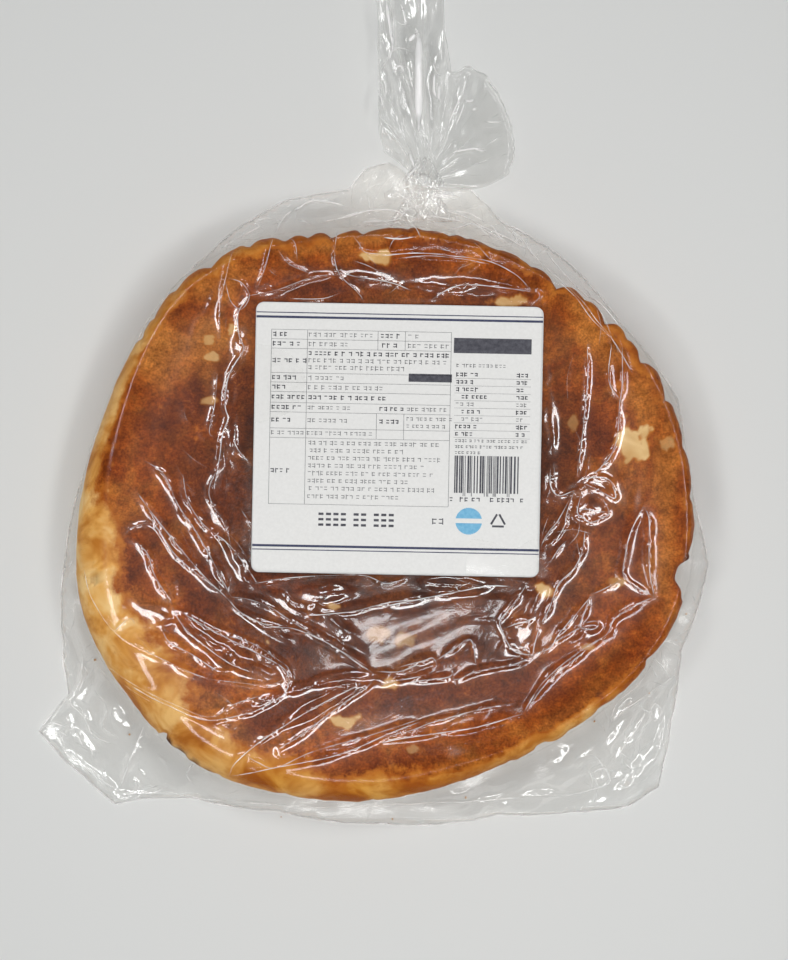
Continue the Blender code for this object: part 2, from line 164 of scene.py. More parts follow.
# How ragged the borders between the browned parts are: size, height and seed of the lumps
BROWNING_WANDER = ((23.0, 5.2, 11), (9.0, 3.4, 12), (3.6, 1.8, 13))
BLISTER_WANDER = ((5.0, 0.70, 21), (2.2, 0.45, 22))
PATCH_WANDER = ((12.0, 0.5, 0), (4.5, 0.3, 1))
PATCH_SEEDS, PATCH_BORDER, BLISTER_BORDER, SCORCH_BORDER = (27, 29), (1.7, 0.4), (1.55, 0.60), (1.2, 0.4)
# Past the face's edge the gold runs on by these shares of the way out and of the way down
GOLD_OUT, GOLD_DOWN, GOLD_BORDER = 0.25, 0.6, (-6.0, 6.5)
# Low on the side the gold goes all round, between these heights and as strong as this
GOLD_HEIGHTS, LOW_GOLD = (19, 8), 0.9
# The face's middle is the darkest brown: its middle, where the brown gives way, and its share underneath
DARK_MIDDLE, DARK_REACH, DARK_UNDERSIDE = (4, 8), (48, 98), 0.4
# The crust's colours, each as (place along the pattern, colour) steps
BROWN = ((0.34, (0.048, 0.011, 0.004)), (0.50, (0.086, 0.021, 0.005)), (0.66, (0.17, 0.046, 0.009)))
ORANGE = ((0.34, (0.200, 0.036, 0.004)), (0.50, (0.310, 0.068, 0.008)), (0.66, (0.44, 0.135, 0.020)))
LIGHT_BROWN = ((0.3, (0.36, 0.115, 0.018)), (0.7, (0.62, 0.25, 0.055)))
DARK_BROWN = ((0.3, (0.075, 0.015, 0.003)), (0.7, (0.20, 0.038, 0.005)))
TOASTED = ((0.36, (0.32, 0.080, 0.007)), (0.50, (0.50, 0.170, 0.016)), (0.64, (0.70, 0.33, 0.055)))
CREAM = ((0.36, (0.58, 0.22, 0.032)), (0.48, (0.80, 0.41, 0.10)), (0.62, (0.92, 0.62, 0.26)))
TANNED = ((0.35, (0.36, 0.085, 0.009)), (0.65, (0.56, 0.190, 0.026)))
BLISTER_RIM = ((0.3, (0.40, 0.120, 0.014)), (0.7, (0.60, 0.225, 0.035)))
BLISTER = ((0.35, (0.62, 0.35, 0.12)), (0.65, (0.86, 0.62, 0.30)))
CHARRED = (0.085, 0.022, 0.009, 1)


def around(pairs, bearing):
    """The value at each bearing, by straight steps between (bearing, value) pairs round the circle."""
    bearings, values = np.array(pairs, float).T
    return np.interp(bearing, bearings, values, period=360)


def smooth_around(pairs, bearing, spread=9.0):
    return sum(around(pairs, bearing + spread * step) for step in (-1, -0.5, 0, 0.5, 1)) / 5


def bread_reach(bearing):
    return smooth_around(BREAD_REACH, bearing)


def face_reach(bearing):
    return bread_reach(bearing) - smooth_around(FACE_INSET, bearing, 15.0)


def ease(low, high, value):
    part = np.clip((value - low) / (high - low), 0, 1)
    return part * part * (3 - 2 * part)


def lumps(x, y, size, seed):
    """Smooth random rises and dips of about that size, from -1 to 1."""
    x, y = np.asarray(x) / size + 17.3 * seed, np.asarray(y) / size - 9.1 * seed
    left, low = np.floor(x), np.floor(y)

    def pull(column, row):
        turn = np.sin(column * 127.1 + row * 311.7 + seed * 74.7) * 43758.5453
        angle = 2 * np.pi * (turn - np.floor(turn))
        return np.cos(angle) * (x - column) + np.sin(angle) * (y - row)

    ease_x, ease_y = (p**3 * (p * (p * 6 - 15) + 10) for p in (x - left, y - low))
    lower = pull(left, low) + ease_x * (pull(left + 1, low) - pull(left, low))
    upper = pull(left, low + 1) + ease_x * (pull(left + 1, low + 1) - pull(left, low + 1))
    return 1.5 * (lower + ease_y * (upper - lower))


def rough(x, y, layers, start=0):
    """Lumps of several sizes together, each layer by its size, height and seed."""
    return sum((height * lumps(x, y, size, seed) for size, height, seed in layers), start)


def patches(x, y, size, seed, low, high, least=0, rest=1):
    """Patches of about that size, of the least share outside them and the rest more inside."""
    return least + rest * ease(low, high, lumps(x, y, size, seed))


def at_bearing(bearing, reach):
    angle = np.radians(bearing)
    return reach * np.cos(angle), reach * np.sin(angle)


def along_across(x, y, heading):
    """How far a place lies along a heading, and how far to its left."""
    angle = math.radians(heading)
    cosine, sine = math.cos(angle), math.sin(angle)
    return x * cosine + y * sine, y * cosine - x * sine


def strongest(x, y, places, first_seed):
    """How much of a place's strength each point gets, the places being ragged ellipses."""
    found = np.zeros_like(x)
    layers = [(size, height, first_seed + seed) for size, height, seed in PATCH_WANDER]
    for middle_x, middle_y, half_length, half_width, heading, strength in places:
        along, across = along_across(x - middle_x, y - middle_y, heading)
        off = rough(x, y, layers, np.hypot(along / half_length, across / half_width))
        found = np.maximum(found, strength * ease(*PATCH_BORDER, off))
    return found


def face_swell(x, y, inside):
    """The slow rise and fall of the bread's face, dying out at its edge."""
    swell = np.sin(x / SWELL_ACROSS) * np.cos(y / SWELL_ALONG + 1)
    return FACE_SWELL * swell * np.clip(inside / SWELL_EDGE, 0, 1)


def rim_wander(bearing):
    """The torn, scalloped line of the bread's rim, in or out of its smooth outline."""
    x, y = at_bearing(bearing, MEAN_REACH)
    lobes = sum(height * np.abs(lumps(x, y, size, seed)) for size, height, seed in RIM_LOBES) - LOBES_IN
    lobes = lobes * patches(x, y, *LOBE_STRETCHES)
    wander = around(RAGGED, bearing) * rough(x, y, RIM_WANDER, lobes)
    for cuts, power in ((RIM_BITES, BITE_POWER), (RIM_NOTCHES, NOTCH_POWER)):
        for middle, half_width, depth in cuts:
            off = (bearing - middle + 180) % 360 - 180
            steeper = off < 0 if math.cos(math.radians(middle)) > 0 else off > 0
            lopsided = np.where(steeper, NOTCH_STEEP, NOTCH_SLOW) if cuts is RIM_NOTCHES else 1
            wander = wander - depth * np.exp(-(np.abs(off / (half_width * lopsided)) ** power))
    return np.minimum(wander, RIM_MOST)


def bread_surface():
    """Rings of points from the middle of the face, over the rim and back under to the middle."""
    bearing = np.arange(BREAD_BEARINGS) * 360.0 / BREAD_BEARINGS
    widest = bread_reach(bearing) + rim_wander(bearing)
    face = np.minimum(face_reach(bearing), widest - LEAST_SIDE)
    reaches, heights = [], []
    for k in range(1, FACE_RINGS + 1):
        reach = face * k / FACE_RINGS
        reaches.append(reach)
        heights.append(CRUST_TOP + face_swell(*at_bearing(bearing, reach), face - reach))
    for k in range(1, UPPER_SIDE_RINGS + 1):
        turn = 0.5 * math.pi * k / UPPER_SIDE_RINGS
        reaches.append(face + (widest - face) * math.sin(turn))
        heights.append(np.full_like(face, WIDEST_HEIGHT + (CRUST_TOP - WIDEST_HEIGHT) * math.cos(turn)))
    for k in range(1, LOWER_SIDE_RINGS + 1):
        turn = 0.5 * math.pi * k / LOWER_SIDE_RINGS
        reaches.append(widest - UNDERSIDE_CURL * (1 - math.cos(turn)))
        sunk = (WIDEST_HEIGHT - RESTING_HEIGHT) * math.sin(turn)
        heights.append(np.full_like(face, WIDEST_HEIGHT - sunk))
    flat = widest - UNDERSIDE_CURL
    for k in range(UNDERSIDE_RINGS - 1, 0, -1):
        part = k / UNDERSIDE_RINGS
        reaches.append(flat * part)
        hollow = PRESSED_MIDDLE * float(ease(HOLLOW_FROM, HOLLOW_FULL, part))
        heights.append(np.full_like(face, RESTING_HEIGHT + hollow))
    return bearing, face, widest, np.array(reaches), np.array(heights)


def ring_faces(rings, count):
    """Quads between rings of points, and the triangles that close them at a first and a last point."""
    first, last = rings * count, rings * count + 1
    faces = []
    for k in range(count):
        after = (k + 1) % count
        faces.append((first, k, after))
        faces.append(((rings - 1) * count + k, last, (rings - 1) * count + after))
    for ring in range(rings - 1):
        inner, outer = ring * count, (ring + 1) * count
        for k in range(count):
            after = (k + 1) % count
            faces.append((inner + k, outer + k, outer + after, inner + after))
    return faces


def make_piece(name, points, faces, finish, edges=()):
    """A smooth mesh object from points in millimetres."""
    mesh = bpy.data.meshes.new(name)
    mesh.from_pydata((np.asarray(points) * MM).tolist(), list(edges), faces)
    mesh.shade_smooth()
    mesh.materials.append(finish)
    piece = bpy.data.objects.new(name, mesh)
    bpy.context.scene.collection.objects.link(piece)
    return piece


def mark(piece, name, values):
    """A number at each point of the piece, for its material or its Geometry Nodes to read."""
    layer = piece.data.attributes.new(name, "FLOAT", "POINT")
    layer.data.foreach_set("value", np.asarray(values, np.float32).ravel())


def put(tree, kind, inputs=(), **settings):
    """A node of that kind, its inputs given as numbers or as the outputs of other nodes."""
    made = tree.nodes.new(kind)
    for setting, value in settings.items():
        setattr(made, setting, value)
    for socket, value in dict(inputs).items():
        if isinstance(value, bpy.types.NodeSocket):
            tree.links.new(value, made.inputs[socket])
        else:
            made.inputs[socket].default_value = value
    return made


def new_finish(name):
    """An empty material, its tree, and in it the place of each point on the piece."""
    finish = bpy.data.materials.new(name)
    finish.use_nodes = True
    finish.node_tree.nodes.clear()
    return finish, finish.node_tree, put(finish.node_tree, "ShaderNodeTexCoord").outputs["Object"]


def marked(tree, name):
    return put(tree, "ShaderNodeAttribute", attribute_name=name).outputs["Fac"]


def noise(tree, where, scale, detail=2.0, roughness=0.5, distortion=0.0):
    settings = {"Vector": where, "Scale": scale, "Detail": detail, "Roughness": roughness}
    return put(tree, "ShaderNodeTexNoise", {**settings, "Distortion": distortion}).outputs["Fac"]


def ramp(tree, value, stops):
    """Colours at places from 0 to 1 along a value."""
    made = put(tree, "ShaderNodeValToRGB", {"Fac": value})
    elements = made.color_ramp.elements
    while len(elements) < len(stops):
        elements.new(0.5)
    for element, (place, colour) in zip(elements, stops):
        element.position = place
        element.color = (*colour, 1)
    return made.outputs["Color"]


def greys(*stops):
    return [(place, (value,) * 3) for place, value in stops]


def blend(tree, part, first, second, how="MIX"):
    made = put(tree, "ShaderNodeMix", {0: part, 6: first, 7: second}, data_type="RGBA", blend_type=how)
    return made.outputs[2]


def sum_of(tree, first, second, how="ADD"):
    return put(tree, "ShaderNodeMath", {0: first, 1: second}, operation=how).outputs[0]


def mapped(tree, value, given=(0, 1), wanted=(0, 1)):
    """A value moved from one range of numbers to another, and held inside it."""
    ends = {"From Min": given[0], "From Max": given[1], "To Min": wanted[0], "To Max": wanted[1]}
    return put(tree, "ShaderNodeMapRange", {"Value": value, **ends}).outputs[0]


def surface(tree, colour, roughness, more=()):
    inputs = {"Base Color": colour, "Roughness": roughness, **dict(more)}
    return put(tree, "ShaderNodeBsdfPrincipled", inputs).outputs[0]


def put_out(tree, shader):
    put(tree, "ShaderNodeOutputMaterial", {"Surface": shader})


bearing, face_edge, widest, reaches, heights = bread_surface()
ring_count = len(reaches)
all_bearings = np.broadcast_to(bearing, reaches.shape)
x, y = at_bearing(all_bearings, reaches)
is_face = (np.arange(ring_count) < FACE_RINGS)[:, None]
is_side = (np.arange(ring_count) < FACE_RINGS + UPPER_SIDE_RINGS + LOWER_SIDE_RINGS)[:, None] & ~is_face
# The crust's own unevenness: on the face up and down, on the side in and out
uneven = rough(x, y, FACE_BUMPS) * ease(0, BUMP_START, face_edge - reaches)
arc = np.radians(all_bearings) * MEAN_REACH
bulge = sum(
    height * lumps(arc, heights * shorter, size, seed) for size, height, seed, shorter in SIDE_BUMPS
)
below_rim = ease(0, BULGE_START, reaches.max(0) - reaches) * is_side
heights = heights + np.where(is_face, uneven, 0)
heights = np.where(is_face, np.minimum(heights, CRUST_TOP + BUMP_MOST), heights)
bulge = np.minimum(bulge, BULGE_MOST) * np.clip(below_rim + BULGE_AT_RIM, 0, 1)
reaches = reaches + np.where(is_side, bulge, 0)
for middle, level, half_width, half_height, out in SCRAPS:
    off = np.hypot((all_bearings - middle) / half_width, (heights - level) / half_height)
    reaches = reaches + out * np.exp(-(off**2)) * is_side
under = ~is_face & ~is_side
heights = heights + np.where(under, rough(x, y, UNDERSIDE_BUMPS, UNDERSIDE_RISE), 0)
x, y = at_bearing(all_bearings, reaches)
points = np.stack([x.ravel(), y.ravel(), heights.ravel()], 1)
poles = [[0, 0, heights[0].mean()], [0, 0, heights[-1].mean()]]
points = np.vstack([points, poles])

# Where the crust is golden, blistered or scorched
wander = rough(x, y, BROWNING_WANDER)
past_edge = (widest - face_edge) * GOLD_OUT + (CRUST_TOP - heights) * GOLD_DOWN
past_face = np.where(is_face, reaches - face_edge, past_edge) + around(GOLD_START, all_bearings)
golden_and_painted_rim_light = around(GOLDEN, all_bearings) * ease(*GOLD_BORDER, past_face + wander)
low_side = np.where(is_face, 0, ease(*GOLD_HEIGHTS, heights + wander))
golden_and_painted_rim_light = np.maximum(golden_and_painted_rim_light, LOW_GOLD * low_side)
# The outermost band seen from above is paled: partly the crust's paler edge, partly painted light on the
# shaded side
seen_reach = reaches + RIM_TILT * (heights - WIDEST_HEIGHT)
off_outline = seen_reach.max(0) - seen_reach + 0.25 * wander
golden_and_painted_rim_light = np.maximum(golden_and_painted_rim_light, around(PALE_RIM_AND_PAINTED_LIGHT, all_bearings) * (ease(*PALE_RIM_AND_LIGHT_WIDTH, off_outline) * ~under))
pale, shown = np.zeros_like(x), np.zeros_like(x)
for middle_x, middle_y, half_width, half_height, strength in BLISTERS:
    off = np.hypot((x - middle_x) / half_width, (y - middle_y) / half_height)
    raised = ease(*BLISTER_BORDER, rough(x, y, BLISTER_WANDER, off)) * ~under
    shown = np.where(raised > pale, strength, shown)
    pale = np.maximum(pale, raised)
scorched = np.zeros_like(x)
for middle_x, middle_y, reach, strength in SCORCHES:
    off = np.hypot(x - middle_x, y - middle_y) / reach + 0.35 * lumps(x, y, 2.6, 23)
    scorched = np.maximum(scorched, strength * ease(*SCORCH_BORDER, off) * ~under)
# The side is a little scorched in patches, just above its widest line
rim = np.where(is_face | under, 0, np.exp(-(((heights - WIDEST_HEIGHT - 2) / 5.0) ** 2)))
scorched = np.maximum(scorched, 0.35 * rim * patches(x, y, 7.0, 24, 0.25, 0.8) * (1 - golden_and_painted_rim_light))
creamy = np.clip(around(CREAMY, all_bearings) + 0.3 * lumps(x, y, 20.0, 26), 0, 1)
darkest, lightest_and_painted_haze = (strongest(x, y, *row) for row in zip((DARKEST, LIGHTEST_AND_PAINTED_HAZE), PATCH_SEEDS))
off_middle = np.hypot(x - DARK_MIDDLE[0], y - DARK_MIDDLE[1]) + 14 * lumps(x, y, 26.0, 25)
rich = ease(*DARK_REACH, off_middle) * np.where(under, DARK_UNDERSIDE, 1)

crust, tree, where = new_finish("baked_crust")
broad = noise(tree, where, 55.0, 5.0, 0.62, 0.3)
blotchy = noise(tree, where, 150.0, 4.0, 0.6, 0.3)
grainy = noise(tree, where, 480.0, 3.0, 0.6)
fine = noise(tree, where, 1300.0, 2.0, 0.6)
flecks = noise(tree, where, 330.0, 2.0, 0.5)
base = blend(tree, marked(tree, "rich"), ramp(tree, broad, BROWN), ramp(tree, broad, ORANGE))
base = blend(tree, 1.0, base, ramp(tree, blotchy, greys((0.30, 0.70), (0.5, 1.0), (0.70, 1.28))), "MULTIPLY")
# Paler patches: partly paler crust, partly a painted haze of the film's reflection
base = blend(tree, marked(tree, "lightest_and_painted_haze"), base, ramp(tree, blotchy, LIGHT_BROWN))
base = blend(tree, marked(tree, "darkest"), base, ramp(tree, blotchy, DARK_BROWN))
base = blend(tree, 1.0, base, ramp(tree, flecks, greys((0.58, 1.0), (0.68, 0.80))), "MULTIPLY")
base = blend(tree, 1.0, base, ramp(tree, grainy, greys((0.34, 0.80), (0.5, 1.0), (0.66, 1.20))), "MULTIPLY")
base = blend(tree, 1.0, base, ramp(tree, fine, greys((0.34, 0.72), (0.5, 1.0), (0.66, 1.27))), "MULTIPLY")
# The gold comes in grain by grain, through a tan border
patchy = noise(tree, where, 62.0, 3.0, 0.6, 0.6)
gold = blend(tree, marked(tree, "creamy"), ramp(tree, patchy, TOASTED), ramp(tree, patchy, CREAM))
ragged = sum_of(tree, sum_of(tree, grainy, blotchy), sum_of(tree, fine, 0.5, "MULTIPLY"))
ragged = sum_of(tree, sum_of(tree, ragged, 1.25, "SUBTRACT"), 0.55, "MULTIPLY")
ragged_gold = sum_of(tree, marked(tree, "golden_and_painted_rim_light"), ragged)
base = blend(tree, mapped(tree, ragged_gold, (0.12, 0.42)), base, ramp(tree, blotchy, TANNED))
base = blend(tree, mapped(tree, ragged_gold, (0.46, 0.92)), base, gold)
shown_part = marked(tree, "shown")
border_part = mapped(tree, marked(tree, "pale"), (0.08, 0.42), (0, 0.8))
border_part = sum_of(tree, border_part, shown_part, "MULTIPLY")
blister_part = sum_of(tree, mapped(tree, marked(tree, "pale"), (0.40, 0.80)), shown_part, "MULTIPLY")
base = blend(tree, border_part, base, ramp(tree, blotchy, BLISTER_RIM))
base = blend(tree, blister_part, base, ramp(tree, patchy, BLISTER))
base = blend(tree, marked(tree, "scorched"), base, CHARRED)
# Golden and blistered crust is smoother than browned crust
relief = sum_of(tree, sum_of(tree, grainy, 0.5, "MULTIPLY"), blotchy)
smooth_part = sum_of(tree, marked(tree, "golden_and_painted_rim_light"), marked(tree, "pale"), "MAXIMUM")
smooth_part = sum_of(tree, smooth_part, 0.8, "MULTIPLY")
relief = sum_of(tree, relief, sum_of(tree, 1.0, smooth_part, "SUBTRACT"), "MULTIPLY")
bump = put(tree, "ShaderNodeBump", {"Strength": 0.55, "Distance": 0.0006, "Height": relief})
roughness = mapped(tree, blotchy, wanted=(0.42, 0.72))
put_out(tree, surface(tree, base, roughness, {"Normal": bump.outputs[0], "Specular IOR Level": 0.04}))

bread = make_piece("bread", points, ring_faces(ring_count, BREAD_BEARINGS), crust)
browning = {
    "golden_and_painted_rim_light": golden_and_painted_rim_light, "pale": pale, "scorched": scorched, "rich": rich, "creamy": creamy,
    "darkest": darkest, "lightest_and_painted_haze": lightest_and_painted_haze, "shown": shown,
}
for name, values in browning.items():
    mark(bread, name, np.append(values.ravel(), (values[0].mean(), values[-1].mean())))
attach(bread, "root")
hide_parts("bag")


# Crumbs
# Flakes of crust that have dropped off the rim and lie loose on the lower sheet of the bag. Geometry
# Nodes put one small rough grain on each place, turned at random.

CRUMBS, CRUMB_SEED, CRUMB_GRAIN, CRUMB_ROUGHNESS = 9, 4, 0.5, 0.2
# One ochre flake has settled by the rim: x, y, size
FLAKE = (96.5, -57.0, 3.2)
CRUMB_BEARINGS = (195.0, 345.0)
CRUMB_OFF_RIM = (3.0, 14.0)
CRUMB_HEIGHT, LARGEST_CRUMB = 1.4, 1.4
# How much flatter than wide a crumb is, and how far its roughness moves a point, in metres
CRUMB_FLATNESS, CRUMB_KNOBS = 0.6, 0.004


def new_tree(name, inputs):
    """A Geometry Nodes tree with a mesh in and out, and named sizes with their usual values."""
    made = bpy.data.node_groups.new(name, "GeometryNodeTree")
    made.interface.new_socket("Geometry", in_out="INPUT", socket_type="NodeSocketGeometry")
    for title, value in inputs.items():
        kind = "NodeSocketMaterial" if value is None else "NodeSocketFloat"
        kind = "NodeSocketInt" if isinstance(value, int) else kind
        socket = made.interface.new_socket(title, in_out="INPUT", socket_type=kind)
        if value is not None:
            socket.default_value = value
    made.interface.new_socket("Geometry", in_out="OUTPUT", socket_type="NodeSocketGeometry")
    given = made.nodes.new("NodeGroupInput")
    return made, given


def grown(name, start, tree, sizes, finish):
    """The plain mesh that a Geometry Nodes tree makes from a starting mesh."""
    modifier = start.modifiers.new("grow", "NODES")
    modifier.node_group = tree
    for item in tree.interface.items_tree:
        if item.in_out == "INPUT" and item.name in sizes:
            modifier[item.identifier] = sizes[item.name]
        elif item.in_out == "INPUT" and item.name == "Finish":
            modifier[item.identifier] = finish
    graph = bpy.context.evaluated_depsgraph_get()
    mesh = bpy.data.meshes.new_from_object(start.evaluated_get(graph))
    start.modifiers.clear()
    mesh.name = name
    piece = bpy.data.objects.new(name, mesh)
    bpy.context.scene.collection.objects.link(piece)
    bpy.data.objects.remove(start)
    return piece


def number_at(tree, name):
    """The number that each point of the starting mesh holds under that name."""
    read = put(tree, "GeometryNodeInputNamedAttribute", {"Name": name}, data_type="FLOAT")
    return read.outputs["Attribute"]


def scaled(tree, vector, by):
    return put(tree, "ShaderNodeVectorMath", {0: vector, "Scale": by}, operation="SCALE").outputs[0]


def give_out(tree, shape, given):
    """End a tree with its finish on the shape."""
    covered = put(tree, "GeometryNodeSetMaterial", {"Geometry": shape, "Material": given.outputs["Finish"]})
    put(tree, "NodeGroupOutput", {"Geometry": covered.outputs[0]})


crumb_sizes = {"Grain": CRUMB_GRAIN, "Roughness": CRUMB_ROUGHNESS, "Seed": CRUMB_SEED}
crumb_tree, given = new_tree("crumbs", {**crumb_sizes, "Finish": None})
turn = put(crumb_tree, "FunctionNodeRandomValue", data_type="FLOAT_VECTOR")
turn.inputs["Max"].default_value = (2 * math.pi,) * 3
crumb_tree.links.new(given.outputs["Seed"], turn.inputs["Seed"])
ball = put(crumb_tree, "GeometryNodeMeshIcoSphere", {"Radius": 1.0, "Subdivisions": 2})
grains = put(
    crumb_tree, "GeometryNodeInstanceOnPoints",
    {"Points": given.outputs["Geometry"], "Instance": ball.outputs["Mesh"], "Rotation": turn.outputs[0]},
)
scale = put(crumb_tree, "ShaderNodeCombineXYZ", {"X": given.outputs["Grain"], "Y": given.outputs["Grain"]})
flat = sum_of(crumb_tree, given.outputs["Grain"], CRUMB_FLATNESS, "MULTIPLY")
crumb_tree.links.new(flat, scale.inputs["Z"])
sized = scaled(crumb_tree, scale.outputs[0], number_at(crumb_tree, "size"))
crumb_tree.links.new(sized, grains.inputs["Scale"])
real = put(crumb_tree, "GeometryNodeRealizeInstances", {"Geometry": grains.outputs[0]})
place = put(crumb_tree, "GeometryNodeInputPosition").outputs[0]
knobbly = put(crumb_tree, "ShaderNodeTexNoise", {"Vector": place, "Scale": 900.0, "Detail": 1.0})
knobs = {0: knobbly.outputs["Color"], 1: (0.5, 0.5, 0.5)}
centred = put(crumb_tree, "ShaderNodeVectorMath", knobs, operation="SUBTRACT")
amount = sum_of(crumb_tree, given.outputs["Roughness"], CRUMB_KNOBS, "MULTIPLY")
shift = scaled(crumb_tree, centred.outputs[0], amount)
moved = put(crumb_tree, "GeometryNodeSetPosition", {"Geometry": real.outputs[0], "Offset": shift})
give_out(crumb_tree, moved.outputs[0], given)

crumb_crust, tree, where = new_finish("crumb_crust")
mottle = noise(tree, where, 400.0, 3.0, 0.6)
tone = ramp(tree, mottle, [(0.35, (0.42, 0.17, 0.035)), (0.6, (0.66, 0.36, 0.09))])
put_out(tree, surface(tree, tone, 0.8))

draw = np.random.default_rng(CRUMB_SEED)
crumb_bearing = draw.uniform(*CRUMB_BEARINGS, CRUMBS)
crumb_reach = bread_reach(crumb_bearing) + draw.uniform(*CRUMB_OFF_RIM, CRUMBS)
crumb_x, crumb_y = at_bearing(crumb_bearing, crumb_reach)
crumb_size = draw.uniform(0.5, 1.0, CRUMBS) ** 2 * LARGEST_CRUMB
crumb_x, crumb_y = np.append(crumb_x, FLAKE[0]), np.append(crumb_y, FLAKE[1])
crumb_size = np.append(crumb_size, FLAKE[2])
spots = np.stack([crumb_x, crumb_y, np.full_like(crumb_x, CRUMB_HEIGHT)], 1)
start = make_piece("crumb_places", spots, [], crumb_crust)
mark(start, "size", crumb_size * MM)
crumbs = grown("crumbs", start, crumb_tree, crumb_sizes, crumb_crust)
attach(crumbs, "root")


# The bag
# A tube of clear, stiff film sealed across its lower end, drawn close over the bread. The film stands up
# in sharp creases where it has slack, lies flat past the rim, and ends in two squashed corners.

EDGE_REACH = (
    (2, 124), (9, 122), (21, 126), (38, 121), (55, 125), (68, 126), (75, 134), (83, 130),
    (89, 139), (93, 137), (96, 130), (108, 131), (117, 128), (126, 124), (140, 121),
    (155, 116), (172, 120), (187, 128), (202, 139), (210, 146), (212.5, 164), (223, 160),
    (227.5, 159), (230, 150), (236, 138), (251, 127), (270, 125), (291, 130), (302, 142),
    (310, 154), (315, 156), (324, 143), (335, 132), (351, 132),
)
FILM_HEIGHT, FILM_SAG, FILM_OFF_FACE, FILM_OFF_RIM = 32.5, 1.4, 0.5, 0.9
LOOSE_EDGE_HEIGHT, TIGHT_EDGE_HEIGHT, LOOSE_FILM = 1.8, 8.6, 16.0
NECK_X, NECK_Y, NECK_HEIGHT = 16.0, 130.0, 9.0
FILM_SPACING, UNDER_SPACING, CREASE_STEP = 1.05, 3.0, 1.0
LABEL_X, LABEL_Y, LABEL_WIDTH, LABEL_LENGTH, LABEL_TURN = 5.6, 28.1, 108.0, 101.5, -1.1
# How far the bag's edge keeps off the rim, the least width of loose film, and where the edge rises to
# the neck: bearing and spread
EDGE_OFF_RIM, LEAST_LOOSE, NECK_BEARING, NECK_SPREAD = 1.5, 0.6, 86.0, 9.0
